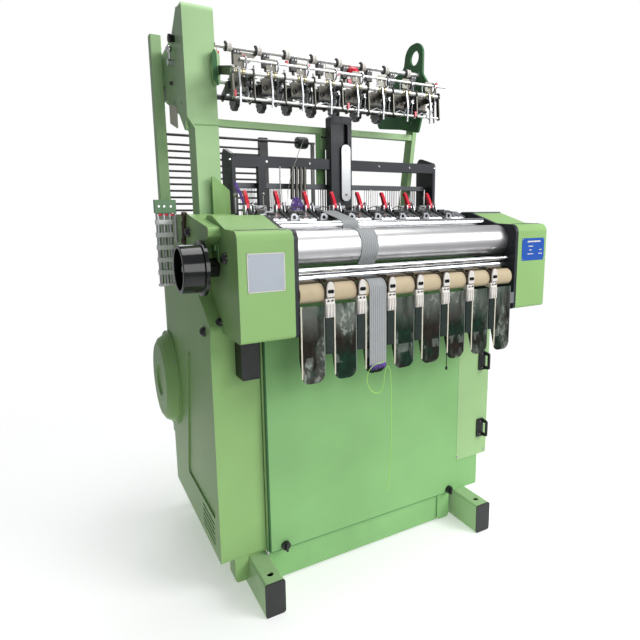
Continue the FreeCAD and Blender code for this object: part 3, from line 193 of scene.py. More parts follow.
class Shade:
    """Builds one material's node tree."""

    def __init__(self, name: str) -> None:
        """Starts a material of that name with its Principled shader."""
        self.material = bpy.data.materials.new(name)
        self.material.use_nodes = True
        self.tree = self.material.node_tree
        self.shader = self.tree.nodes["Principled BSDF"]

    def node(self, kind: str, settings: dict[str, Any] | None = None,
             sockets: dict[Any, Any] | None = None) -> bpy.types.Node:
        """Adds a node.

        Args:
            kind: the node's type.
            settings: its properties, set first.
            sockets: values or links of its input sockets, by name or number.

        Returns:
            The node.
        """
        made = self.tree.nodes.new(kind)
        for key, setting in (settings or {}).items():
            setattr(made, key, setting)
        for key, value in (sockets or {}).items():
            self.feed(made.inputs[key], value)
        return made

    def feed(self, target: Socket, value: Any) -> None:
        """Links or sets one input socket.

        Args:
            target: the input socket.
            value: a Value, an output socket, or a plain number or colour.
        """
        if isinstance(value, Value):
            value = value.socket
        if isinstance(value, Socket):
            self.tree.links.new(value, target)
        elif isinstance(value, tuple) and len(value) == 3 and len(target.default_value) == 4:
            target.default_value = (*value, 1.0)
        else:
            target.default_value = value

    def value(self, kind: str, settings: dict[str, Any] | None = None,
              sockets: dict[Any, Any] | None = None, output: Any = 0) -> Value:
        """Adds a node and wraps one of its outputs as a Value."""
        return Value(self, self.node(kind, settings, sockets).outputs[output])

    def place(self, output: str = "Object") -> Socket:
        """Coordinates of a surface point: by default fixed to the piece, in metres of the frame."""
        return self.node("ShaderNodeTexCoord").outputs[output]

    def split(self, source: Socket) -> list[Value]:
        """The three parts of a vector."""
        return [Value(self, part) for part in self.node("ShaderNodeSeparateXYZ", None, {0: source}).outputs]

    def height(self) -> Value:
        """Height in the frame, in metres."""
        return self.split(self.place())[Z.value]

    def noise(self, scale: float | Point, detail: float = 2.0, rough: float = 0.5) -> Value:
        """A noise of about 0 to 1.

        Args:
            scale: waves in a metre, for all directions or for each.
            detail: octaves above the first.
            rough: weight of the higher octaves.

        Returns:
            The noise.
        """
        place = self.place()
        if not isinstance(scale, float):
            factors = {0: place, 1: tuple(scale)}
            stretched = self.node("ShaderNodeVectorMath", {"operation": "MULTIPLY"}, factors)
            place, scale = stretched.outputs[0], 1.0
        sockets = {"Vector": place, "Scale": scale, "Detail": detail, "Roughness": rough}
        return self.value("ShaderNodeTexNoise", None, sockets, "Fac")

    def mix(self, factor: Any, first: Any, second: Any) -> Socket:
        """A colour between first and second."""
        sockets = {0: factor, 6: first, 7: second}
        return self.node("ShaderNodeMix", {"data_type": "RGBA"}, sockets).outputs[2]

    def bump(self, height: Value, depth: float) -> Socket:
        """A normal bent by a height of 0 to 1 that stands for a depth in millimetres."""
        sockets = {"Height": height, "Distance": depth * MM, "Strength": 1.0}
        return self.node("ShaderNodeBump", None, sockets).outputs[0]

    def set(self, **sockets: Any) -> None:
        """Sets the Principled shader's sockets; an underscore in a key stands for a space."""
        for key, value in sockets.items():
            self.feed(self.shader.inputs[key.replace("_", " ")], value)


@dataclass(frozen=True)
class Finish:
    """A named material, which each kind of finish paints in its own way."""

    name: str

    def paint(self, s: Shade) -> None:
        """Sets up the shader."""
        raise NotImplementedError

    def build(self) -> Material:
        """Makes the material."""
        s = Shade(self.name)
        self.paint(s)
        return s.material


@dataclass(frozen=True)
class Enamel(Finish):
    """Sprayed machine enamel, slightly uneven, dusty towards the floor."""

    colour: Colour
    rough: float = 0.3
    dust: float = 0.18
    coat: float = 0.03
    peel: float = 0.05

    def paint(self, s: Shade) -> None:
        """Sets up the shader."""
        cloud = s.noise(3.0, 4.0)
        base = s.mix(cloud.above(0.5, 0.5), toned(self.colour, 0.86), toned(self.colour, 1.06))
        low = 1.0 - s.height().above(0.10, 0.22)
        grime = (low * s.noise(22.0, 5.0).above(0.5, 0.3) * self.dust).clamped()
        speck = s.noise(160.0, 3.0).above(0.74, 0.04) * 0.35 * self.dust
        base = s.mix((grime + speck).clamped(), base, toned(self.colour, 0.45, 0.05))
        s.set(Base_Color=base, Roughness=(self.rough + 0.12 * (cloud - 0.5) + 0.25 * grime).clamped(),
              Coat_Weight=self.coat, Coat_Roughness=0.12, Specular_IOR_Level=0.07,
              Normal=s.bump(s.noise(330.0), self.peel))


@dataclass(frozen=True)
class Hammered(Finish):
    """Dark hammered or gritty enamel; light specks of the glint colour are painted glints."""

    colour: Colour
    rough: float = 0.42
    grain: float = 520.0
    depth: float = 0.12
    painted_glint: float = 0.0
    glint: Colour = (0.55, 0.56, 0.58)

    def paint(self, s: Shade) -> None:
        """Sets up the shader."""
        grain = s.noise(self.grain)
        base = s.mix(s.noise(5.0, 3.0), toned(self.colour, 0.75), toned(self.colour, 1.2))
        # light specks at the grain's peaks are painted glints
        base = s.mix(grain.above(0.66, 0.05) * self.painted_glint, base, self.glint)
        s.set(Base_Color=base, Roughness=self.rough + 0.2 * (s.noise(14.0, 3.0) - 0.5), Coat_Weight=0.05,
              Specular_IOR_Level=0.25, Normal=s.bump(grain, self.depth))


@dataclass(frozen=True)
class Metal(Finish):
    """Bare or plated metal with fine lines along one direction, or none."""

    colour: Colour
    rough: float = 0.28
    lines: Axis | None = X
    depth: float = 0.02
    stain: float = 0.25
    metallic: float = 1.0

    def paint(self, s: Shade) -> None:
        """Sets up the shader."""
        lines = s.noise([14.0 if axis is self.lines else 900.0 for axis in Axis], 3.0)
        worn = s.noise(9.0, 4.0).above(0.52, 0.3) * self.stain
        base = s.mix(worn, self.colour, toned(self.colour, 0.55))
        base = s.mix(lines * 0.35, base, toned(self.colour, 0.72))
        s.set(Base_Color=base, Metallic=self.metallic,
              Roughness=(self.rough + 0.16 * (lines - 0.5) + 0.18 * worn).clamped(),
              Normal=s.bump(lines, self.depth))


@dataclass(frozen=True)
class Plastic(Finish):
    """Moulded plastic with a fine grain."""

    colour: Colour
    rough: float = 0.45
    grain: float = 700.0
    depth: float = 0.05

    def paint(self, s: Shade) -> None:
        """Sets up the shader."""
        worn = s.noise(35.0, 4.0).above(0.62, 0.2) * 0.22
        s.set(Base_Color=s.mix(worn, self.colour, toned(self.colour, 0.7, 0.03)),
              Roughness=(self.rough + 0.12 * worn + 0.08 * (s.noise(60.0) - 0.5)).clamped(),
              Normal=s.bump(s.noise(self.grain, 1.0), self.depth))


@dataclass(frozen=True)
class Mirror(Finish):
    """Thin polished sheet whose colour is painted reflection: green, brown and dark tones with light streaks
    and patches.
    """

    # colours of the painted reflections: green, brown and dark tones, and light streaks
    green: Colour = srgb(36, 70, 52)
    brown: Colour = srgb(62, 54, 46)
    light: Colour = srgb(150, 158, 148)
    dark: Colour = (0.012, 0.014, 0.012)
    reflection_from: float = 0.84
    band: Point = (0.738, 0.764)

    def paint(self, s: Shade) -> None:
        """Sets up the shader."""
        level = s.height()
        large = s.noise((19.0, 9.0, 9.0), 2.0, 0.55)
        crumple = s.noise((95.0, 60.0, 55.0), 5.0, 0.7)
        streak = s.noise((34.0, 9.0, 7.0), 3.0, 0.6)
        patch = s.noise((8.0, 6.0, 7.0), 3.0, 0.65)
        # painted reflections: light streaks high up and in a band, light patches, and light crumple peaks
        upper = level.above(self.reflection_from, 0.07) * streak.above(0.42, 0.2) * 0.5
        reflection_patches = large.above(0.56, 0.12) * (0.25 + 0.75 * crumple.above(0.52, 0.14)) * 0.8
        band_reflection = level.above(self.band[0], 0.002) * (1.0 - level.above(self.band[1], 0.002))
        bright = upper + reflection_patches + band_reflection * streak.above(0.5, 0.02) * 0.5 + crumple.above(0.68, 0.03) * 0.6
        # painted reflection tones: green and brown patches, dark in the crumples
        tone = s.mix(patch.above(0.5, 0.1), self.green, self.brown)
        tone = s.mix(crumple.above(0.46, 0.05) * 0.55, tone, self.dark)
        s.set(Base_Color=s.mix(bright.clamped(), tone, self.light), Metallic=0.7,
              Roughness=(0.14 + 0.3 * reflection_patches).clamped(), Normal=s.bump(crumple, 0.6))


@dataclass(frozen=True)
class Rack(Finish):
    """Bright tubes under a painted head."""

    edge: float = 1.15
    dark: Colour = srgb(150, 150, 150)
    light: Colour = srgb(196, 197, 198)
    top: Colour = srgb(84, 124, 84)

    def paint(self, s: Shade) -> None:
        """Sets up the shader."""
        head = s.height().above(self.edge, 0.001)
        tone = s.mix(s.noise(12.0, 3.0), self.dark, self.light)
        s.set(Base_Color=s.mix(head, tone, self.top), Metallic=0.85 * (1.0 - head),
              Roughness=0.3 + 0.15 * head)


@dataclass(frozen=True)
class Weave(Finish):
    """Woven ribs along a strip whose UV runs 0 to 1 across it and in metres along it."""

    light: Colour
    dark: Colour
    ribs: float = 9.0
    picks: float = 1250.0

    def paint(self, s: Shade) -> None:
        """Sets up the shader."""
        across, along, _ = s.split(s.place("UV"))
        turn = 2 * math.pi
        rib = (across * (turn * self.ribs)).math("COSINE") * -0.5 + 0.5
        pick = (along * (turn * self.picks)).math("SINE") * 0.5 + 0.5
        fine = (across * (turn * self.ribs * 9)).math("SINE") * 0.5 + 0.5
        weave = rib * 0.6 + pick * fine * 0.4
        tone = (weave * 0.7 + 0.3 * s.noise(30.0, 3.0)).clamped()
        s.set(Base_Color=s.mix(tone, self.dark, self.light), Roughness=0.85 - 0.1 * weave,
              Normal=s.bump(weave, 0.25))


@dataclass(frozen=True)
class Spun(Finish):
    """Loose spun thread."""

    light: Colour
    dark: Colour

    def paint(self, s: Shade) -> None:
        """Sets up the shader."""
        twist = s.noise((900.0, 900.0, 350.0))
        s.set(Base_Color=s.mix(twist, self.dark, self.light), Roughness=0.7 + 0.1 * twist,
              Normal=s.bump(twist, 0.2))


class Palette:
    """Every finish of the machine with its slot in the record, each made on its first use."""

    SORTS: dict[str, tuple[Finish, str]] = {
        "green": (Enamel("green_enamel", srgb(134, 181, 120)), "green_paint"),
        "box": (Enamel("box_enamel", srgb(146, 184, 119), dust=0.1), "green_paint"),
        # a lighter copy of the green enamel: painted light on the tower, posts and foot beams
        "tower": (Enamel("lit_green_enamel", srgb(172, 206, 154), dust=0.1), "green_paint"),
        "cabinet": (Enamel("cabinet_enamel", srgb(156, 190, 136)), "green_paint"),
        "pale_green": (Enamel("bed_enamel", srgb(188, 204, 178), 0.4), "green_paint"),
        "dark_green": (Enamel("eye_plate_enamel", srgb(72, 116, 78)), "dark_green_paint"),
        "slate": (Hammered("slate_enamel", srgb(42, 45, 50)), "slate_paint"),
        "grit": (Hammered("gritty_slate", srgb(74, 82, 84), 0.6, 900.0, 0.3, 0.8), "slate_paint"),
        "black": (Plastic("black_plastic", srgb(30, 31, 32)), "black_plastic"),
        "gloss": (Plastic("black_gloss", srgb(16, 17, 18), 0.12, 90.0, 0.02), "black_plastic"),
        "white": (Plastic("white_nylon", srgb(214, 209, 203), 0.4), "white_plastic"),
        "cream": (Plastic("cream_edge", srgb(206, 200, 182), 0.5), "white_plastic"),
        "red": (Plastic("red_plastic", srgb(206, 30, 52), 0.22), "red_plastic"),
        "kraft": (Plastic("kraft_wrap", srgb(186, 170, 140), 0.8, 240.0, 0.25), "kraft_wrap"),
        "umber": (Plastic("brown_band", srgb(58, 42, 32), 0.5), "kraft_wrap"),
        "ink": (Plastic("ink_black", srgb(10, 18, 14), 0.5), "black_plastic"),
        "bottle": (Plastic("dark_strip", srgb(17, 32, 27), 0.35), "black_plastic"),
        "mirror": (Mirror("mirror_steel"), "mirror_steel"),
        "chrome": (Metal("bright_chrome", srgb(205, 206, 208), 0.14), "chrome_steel"),
        # a whitened, half-metallic copy of chrome whose pale colour is a painted sheen on the rods
        "silver": (Metal("silver_painted_sheen", srgb(232, 232, 230), 0.2, metallic=0.5), "chrome_steel"),
        "wire": (Metal("bright_wire", srgb(190, 190, 184), 0.25, None), "chrome_steel"),
        "roller": (Metal("roller_steel", srgb(214, 213, 214), 0.34), "knurled_steel"),
        "steel": (Metal("machined_steel", srgb(168, 170, 172), 0.3, None), "machined_steel"),
        "dull": (Metal("dull_steel", srgb(92, 92, 92), 0.4, None), "machined_steel"),
        "olive": (Metal("olive_zinc", srgb(98, 96, 90), 0.36, None), "machined_steel"),
        "gold": (Metal("gold_zinc", srgb(192, 182, 148), 0.3, None), "machined_steel"),
        "alloy": (Metal("light_alloy", srgb(170, 171, 176), 0.35), "aluminium_frame"),
        "bronze": (Metal("dark_alloy", srgb(74, 76, 78), 0.4), "aluminium_frame"),
        "webbing": (Weave("grey_webbing", srgb(180, 182, 183), srgb(118, 122, 124)), "grey_webbing"),
        "violet": (Spun("violet_thread", srgb(128, 96, 184), srgb(66, 44, 112)), "grey_webbing"),
        "strap": (Plastic("grey_strap", srgb(226, 227, 224), 0.8, 240.0, 0.2), "grey_strap"),
        "lime": (Spun("lime_spun", srgb(192, 238, 128), srgb(140, 200, 70)), "lime_thread"),
        "rack": (Rack("rack_tubes"), "machined_steel"),
        "label": (Plastic("bare_label", srgb(166, 173, 182), 0.35), "white_plastic"),
        "blue": (Plastic("blue_plate", srgb(26, 80, 168), 0.3), "white_plastic"),
    }
    made: dict[str, Material] = {}

    @classmethod
    def material(cls, name: str) -> Material:
        """The material of that name."""
        if name not in cls.made:
            cls.made[name] = cls.SORTS[name][0].build()
        return cls.made[name]

    @classmethod
    def slot(cls, name: str) -> str:
        """The record's slot for that finish."""
        return cls.SORTS[name][1]


# ---- meshes ----
def rounded(points: Points, steps: int) -> list[Point]:
    """Rounds the corners of a flat outline.

    Args:
        points: (a, b) or (a, b, radius) corners in order.
        steps: pieces in each arc.

    Returns:
        The outline's points.
    """
    result: list[Point] = []
    count = len(points)
    for i, corner in enumerate(points):
        here = Vector(corner[:2])
        radius = corner[2] if len(corner) > 2 else 0.0
        if radius <= 0:
            result.append(tuple(here))
            continue
        back = (Vector(points[i - 1][:2]) - here).normalized()
        ahead = (Vector(points[(i + 1) % count][:2]) - here).normalized()
        half = back.angle(ahead) / 2
        centre = here + (back + ahead).normalized() * (radius / math.sin(half))
        start, end = (here + way * (radius / math.tan(half)) - centre for way in (back, ahead))
        turn = start.angle_signed(end)
        for k in range(steps + 1):
            way = turned_by(start, turn * k / steps)
            result.append((centre.x + way.x, centre.y + way.y))
    return result


def turned_by(flat: Vector, angle: float) -> Vector:
    """A flat vector turned by an angle that counts as angle_signed does."""
    c, s = math.cos(angle), -math.sin(angle)
    return Vector((flat.x * c - flat.y * s, flat.x * s + flat.y * c))


def circle(sides: int) -> list[Point]:
    """Cosine and sine of evenly spaced angles round a circle."""
    angles = [2 * math.pi * k / sides for k in range(sides)]
    return [(math.cos(t), math.sin(t)) for t in angles]


def arc(centre: Point, radius: float, start: float, step: float, count: int) -> list[Point]:
    """Flat points round a centre.

    Args:
        centre: the middle of the arc.
        radius: its radius.
        start: the angle of its first point, in degrees.
        step: the angle from each point to the next.
        count: the number of points.

    Returns:
        The points.
    """
    angles = [math.radians(start + step * k) for k in range(count)]
    return [(centre[0] + radius * math.cos(t), centre[1] + radius * math.sin(t)) for t in angles]


def triad(axis: Axis | Vector) -> tuple[Vector, Vector, Vector]:
    """The unit vector of an axis, and two more that are square to it and to each other."""
    along = Vector([float(way is axis) for way in Axis]) if isinstance(axis, Axis) else axis.normalized()
    first = along.orthogonal().normalized()
    return along, first, along.cross(first)


class Form:
    """Gathers the faces of one piece, in the drawing's millimetres."""

    COIL_STEPS = 12

    def __init__(self, name: str, finish: str, body: str = ROOT) -> None:
        """Starts an empty piece of a finish, on the body that it rides on."""
        self.name, self.finish, self.body = name, finish, body
        self.mesh = bmesh.new()
        self.origin = Vector((0, 0, 0))

    def vert(self, point: Point) -> bmesh.types.BMVert:
        """Adds one point, measured from the form's origin."""
        return self.mesh.verts.new(DATUM.at(Vector(point) + self.origin))

    def skin(self, rings: list[list[bmesh.types.BMVert]]) -> None:
        """Joins closed rings of points in order, and closes the two ends."""
        for low, high in zip(rings, rings[1:]):
            for k in range(len(low)):
                after = (k + 1) % len(low)
                self.mesh.faces.new((low[k], low[after], high[after], high[k]))
        self.mesh.faces.new(list(reversed(rings[0])))
        self.mesh.faces.new(rings[-1])

    def prism(self, points: Points, axis: Axis, low: float, high: float, bevel: float = 0.0,
              steps: int = 5) -> None:
        """Adds a plate of an outline.

        Args:
            points: corners in the other two directions, in X, Y, Z order.
            axis: the direction that the plate is thick in.
            low: its lower face.
            high: its upper face.
            bevel: chamfer round its two faces, or 0.
            steps: pieces in each rounded corner.
        """
        line = rounded(points, steps)
        across, upward = (k for k in range(3) if k != axis.value)
        area = sum(a[0] * b[1] - b[0] * a[1] for a, b in zip(line, line[1:] + line[:1]))
        if (area < 0) != (axis is Y):
            line.reverse()
        flat = [Vector(point) for point in line]

        def ring(level: float, inset: float) -> list[bmesh.types.BMVert]:
            """One ring of points at a level, drawn in by an inset."""
            made = []
            for k, here in enumerate(flat):
                if inset:
                    after = flat[(k + 1) % len(flat)]
                    tangent = (here - flat[k - 1]).normalized() + (after - here).normalized()
                    side = Vector((-tangent.y, tangent.x)).normalized()
                    here = here + side * (-inset if axis is Y else inset)
                spot = [0.0, 0.0, 0.0]
                spot[across], spot[upward], spot[axis.value] = here.x, here.y, level
                made.append(self.vert(spot))
            return made

        inner = [(low + bevel, 0), (high - bevel, 0)]
        levels = [(low, bevel), *inner, (high, bevel)] if bevel else inner
        self.skin([ring(level, inset) for level, inset in levels])

    def block(self, low: Point, high: Point, bevel: float) -> None:
        """Adds a box between two corners, with its upper and lower edges chamfered."""
        corners = [(low[0], low[1]), (high[0], low[1]), (high[0], high[1]), (low[0], high[1])]
        self.prism(corners, Z, low[2], high[2], bevel)

    def panel(self, low: Point, high: Point, corner: float, front: float, back: float, bevel: float = 0.4,
              steps: int = 5) -> None:
        """Adds an upright plate between two (x, z) corners, rounded at its four corners."""
        (x0, z0), (x1, z1) = low, high
        line = [(x0, z0, corner), (x1, z0, corner), (x1, z1, corner), (x0, z1, corner)]
        self.prism(line, Y, front, back, bevel, steps)

    def turned(self, profile: Points, centre: Point, axis: Axis | Vector, sides: int) -> None:
        """Adds a body of revolution.

        Args:
            profile: (along, radius) points from one end to the other; a radius of 0 closes an end.
            centre: the point of the axis that along is counted from.
            axis: the direction of the axis.
            sides: faces round it.
        """
        along, first, second = triad(axis)
        rings = []
        for distance, radius in profile:
            middle = Vector(centre) + along * distance
            ways = [first * c + second * s for c, s in circle(sides)] if radius > 0 else [Vector((0, 0, 0))]
            rings.append([self.vert(middle + way * radius) for way in ways])
        for low, high in zip(rings, rings[1:]):
            for k in range(sides):
                after = (k + 1) % sides
                if len(low) == 1:
                    self.mesh.faces.new((low[0], high[after], high[k]))
                elif len(high) == 1:
                    self.mesh.faces.new((low[k], low[after], high[0]))
                else:
                    self.mesh.faces.new((low[k], low[after], high[after], high[k]))
        for end in (list(reversed(rings[0])), rings[-1]):
            if len(end) > 1:
                self.mesh.faces.new(end)

    def rod(self, start: Point, end: Point, radius: float, sides: int = 16, bevel: float = 0.4) -> None:
        """Adds a round bar between two points, with its ends chamfered."""
        run = Vector(end) - Vector(start)
        thin, length = radius - bevel, run.length
        profile = [(0, thin), (bevel, radius), (length - bevel, radius), (length, thin)]
        self.turned(profile, start, run, sides)

    def ring(self, centre: Point, axis: Axis, inner: float, outer: float, width: float,
             sides: int = 32) -> None:
        """Adds a flat ring, centred on a point of its axis."""
        along, first, second = triad(axis)
        half, b = width / 2, min(0.5, width / 4)
        section = [(-half, inner), (-half, outer - b), (b - half, outer), (half - b, outer),
                   (half, outer - b), (half, inner)]
        loops = [[self.vert(Vector(centre) + along * d + (first * c + second * s) * r) for d, r in section]
                 for c, s in circle(sides)]
        for here, after in zip(loops, loops[1:] + loops[:1]):
            for n in range(len(section)):
                m = (n + 1) % len(section)
                self.mesh.faces.new((here[n], after[n], after[m], here[m]))

    def tube(self, points: Points, radius: float, sides: int) -> None:
        """Adds a bent bar through points of the drawing."""
        line = [Vector(p) for p in points]
        rings = []
        normal = (line[1] - line[0]).orthogonal().normalized()
        for k, here in enumerate(line):
            tangent = (line[min(k + 1, len(line) - 1)] - line[max(k - 1, 0)]).normalized()
            normal = (normal - tangent * normal.dot(tangent)).normalized()
            side = tangent.cross(normal)
            rings.append([self.vert(here + (normal * c + side * s) * radius) for c, s in circle(sides)])
        self.skin(rings)

    def spring(self, start: Point, end: Point, radius: float, wire: float, turns: int) -> None:
        """Adds a coil spring of a wire's radius between two points."""
        run = Vector(end) - Vector(start)
        _, first, second = triad(run)
        coil = circle(self.COIL_STEPS)
        count = turns * self.COIL_STEPS
        self.tube([Vector(start) + run * (k / count) + (first * c + second * s) * radius
                   for k, (c, s) in enumerate(coil * turns + coil[:1])], wire, 6)

    def screws(self, spots: Points, way: Vector, radius: float, height: float, socket: bool = True) -> None:
        """Adds the heads of cap screws that stand on a face.

        Args:
            spots: the middles of their seats.
            way: the face's outward direction.
            radius: the heads' radius.
            height: how far they stand out.
            socket: whether they have a hexagon socket, else a dome.
        """
        if socket:
            profile = [(-0.3, radius), (height - 0.5, radius), (height, radius - 0.5),
                       (height, radius * 0.55), (height * 0.4, radius * 0.5), (height * 0.4, 0)]
        else:
            profile = [(-0.3, radius), (height * 0.4, radius), (height * 0.8, radius * 0.75),
                       (height, radius * 0.3), (height, 0)]
        for spot in spots:
            self.turned(profile, spot, way, 12 if socket else 14)

    def screw_circle(self, x: float, centre: Point, radius: float, start: float, count: int, way: Vector,
                     *head: Any) -> None:
        """Adds screw heads evenly round a circle that lies across x, from a start angle in degrees."""
        self.screws([(x, y, z) for y, z in arc(centre, radius, start, 360 / count, count)], way, *head)

    def piece(self, smooth: float = 35.0) -> Object:
        """Makes the object, smooth where faces meet under an angle in degrees."""
        bmesh.ops.remove_doubles(self.mesh, verts=self.mesh.verts, dist=1e-6)
        bmesh.ops.recalc_face_normals(self.mesh, faces=self.mesh.faces)
        data = bpy.data.meshes.new(self.name)
        self.mesh.to_mesh(data)
        self.mesh.free()
        data.materials.append(Palette.material(self.finish))
        made = link(self.name, data)
        soften(made, smooth)
        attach(made, self.body)
        Palette.slot(self.finish)
        LOG.info("%s: %d faces", self.name, len(data.polygons))
        return made


def shift(origin: Point, *forms: Form) -> None:
    """Lets forms measure what comes next from another origin."""
    for form in forms:
        form.origin = Vector(origin)


def finished(*forms: Form) -> list[Object]:
    """Makes the objects of several forms, in order."""
    return [form.piece() for form in forms]


# ---- studio ----
@dataclass
class Studio:
    """Camera at the photograph's place, soft lights, and a pale floor."""

    eye: Point = (-950.0, -1272.8, 1152.1)
    ahead: Point = (0.49069, 0.85557, -0.16497)
    roll: float = -0.36
    focal: float = 520.92
    centre: Point = (352.48, 299.07)
    frame: float = 640.0
    sensor: float = 36.0
    floor_radius: float = 4.0
    floor_fade: Point = (1.5, 1.8)
    white: Colour = (1.0, 1.0, 1.0)
    shine: tuple[Colour, float] = ((0.95, 0.97, 1.0), 0.42)
    dim: tuple[Colour, float] = ((0.92, 0.96, 1.0), 0.2)
    lamps: tuple[tuple[str, Point, float, float, float], ...] = (
        ("key", (2.6, -3.4, 3.0), 0.9, 2.2, 150), ("front", (0.2, -4.0, 1.6), 0.8, 2.4, 60),
        ("top", (0.6, 0.2, 4.2), 0.8, 2.4, 80), ("back", (0.6, 3.6, 2.6), 0.9, 2.4, 50))

    def camera(self) -> None:
        """Makes the camera."""
        data = bpy.data.cameras.new("view")
        data.sensor_fit = "HORIZONTAL"
        data.sensor_width = self.sensor
        data.lens = self.focal / self.frame * self.sensor
        data.shift_x = (self.frame / 2 - self.centre[0]) / self.frame
        data.shift_y = (self.centre[1] - self.frame / 2) / self.frame
        ahead = Vector(self.ahead).normalized()
        right = ahead.cross(Vector((0, 0, 1))).normalized()
        up = right.cross(ahead)
        c, s = math.cos(math.radians(self.roll)), math.sin(math.radians(self.roll))
        turn = Matrix((right * c + up * s, up * c - right * s, -ahead)).transposed().to_4x4()
        made = link("view", data)
        made.matrix_world = Matrix.Translation(DATUM.at(self.eye)) @ turn
        bpy.context.scene.camera = made

    def lamp(self, name: str, place: Point, aim: float, size: float, power: float) -> None:
        """Adds an area light.

        Args:
            name: its name.
            place: where it is, in metres.
            aim: the height over the origin that it faces, in metres.
            size: its side, in metres.
            power: its power in watts.
        """
        data = bpy.data.lights.new(name, "AREA")
        data.size = size
        data.energy = power
        made = link(name, data)
        made.location = place
        made.rotation_euler = (Vector((0, 0, aim)) - Vector(place)).to_track_quat("-Z", "Y").to_euler()

    def world(self) -> None:
        """A white surround for the camera, a soft one for reflections, and a dim one for lighting."""
        made = bpy.data.worlds.new("surround")
        made.use_nodes = True
        bpy.context.scene.world = made
        tree = made.node_tree
        tree.nodes.clear()

        def joined(kind: str, *sources: Socket) -> bpy.types.Node:
            """Adds a node and links sources to its inputs, in order."""
            node = tree.nodes.new(kind)
            for target, source in zip(node.inputs, sources):
                tree.links.new(source, target)
            return node

        def sky(colour: Colour, strength: float = 1.0) -> Socket:
            """A background of one colour."""
            node = joined("ShaderNodeBackground")
            node.inputs[0].default_value = (*colour, 1)
            node.inputs[1].default_value = strength
            return node.outputs[0]

        path = joined("ShaderNodeLightPath").outputs
        seen = joined("ShaderNodeMath", path["Is Camera Ray"], path["Is Transmission Ray"])
        seen.operation = "MAXIMUM"
        light = joined("ShaderNodeMixShader", path["Is Glossy Ray"], sky(*self.dim), sky(*self.shine))
        last = joined("ShaderNodeMixShader", seen.outputs[0], light.outputs[0], sky(self.white))
        joined("ShaderNodeOutputWorld", last.outputs[0])

    def floor(self) -> None:
        """A pale floor that fades out into the white surround."""
        mesh = bmesh.new()
        bmesh.ops.create_circle(mesh, cap_ends=True, radius=self.floor_radius, segments=96)
        data = bpy.data.meshes.new("floor")
        mesh.to_mesh(data)
        mesh.free()
        made = link("floor", data)
        made.location = (0, 0, -0.5 * MM)
        s = Shade("pale_floor")
        far = s.node("ShaderNodeVectorMath", {"operation": "LENGTH"}, {0: s.place()}).outputs["Value"]
        s.set(Base_Color=(0.9, 0.9, 0.9), Roughness=0.9, Alpha=1.0 - Value(s, far).above(*self.floor_fade),
              Emission_Color=self.white, Emission_Strength=0.34, Specular_IOR_Level=0.1)
        data.materials.append(s.material)

    def build(self) -> None:
        """Makes the whole studio."""
        bpy.context.scene.view_settings.view_transform = "Standard"
        self.camera()
        self.world()
        self.floor()
        for lamp in self.lamps:
            self.lamp(*lamp)


# ---- loose thread ----
@dataclass
class LooseThread:
    """Lime thread that hangs from the end of the webbing."""

    radius: float = 1.0
    route: Points = (
        (-139, -42.3, 724), (-147, -45.5, 719), (-164, -47.5, 720), (-182, -47.5, 715), (-196, -47.5, 702),
        (-202, -47.5, 682), (-198, -47.5, 658), (-184, -47.5, 638), (-166, -47.5, 629), (-151, -47.5, 635),
        (-144, -47.5, 652), (-141, -47.5, 676), (-139, -47.5, 696), (-131, -47.5, 709), (-122, -47.5, 699),
        (-119, -47.5, 678), (-117, -47.5, 640), (-116, -47.5, 590), (-116, -47.5, 536), (-117, -47.5, 480),
        (-119, -47.5, 424), (-122, -47.5, 368), (-126, -47.5, 314))

    def build(self) -> None:
        data = bpy.data.curves.new("lime_thread", "CURVE")
        data.dimensions = "3D"
        data.bevel_depth = self.radius * MM
        data.bevel_resolution = 3
        data.resolution_u = 12
        data.use_fill_caps = True
        spline = data.splines.new("NURBS")
        spline.points.add(len(self.route) - 1)
        points = [DATUM.at(place) for place in self.route]
        for made, point in zip(spline.points, points):
            made.co = (*point, 1.0)
        spline.order_u = 3
        spline.use_endpoint_u = True
        thread = link("lime_thread", data)
        data.materials.append(Palette.material("lime"))
        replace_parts(thread, "lime_yarn")
        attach(thread, ROOT)
        LOG.info("lime_thread: %d route points", len(points))


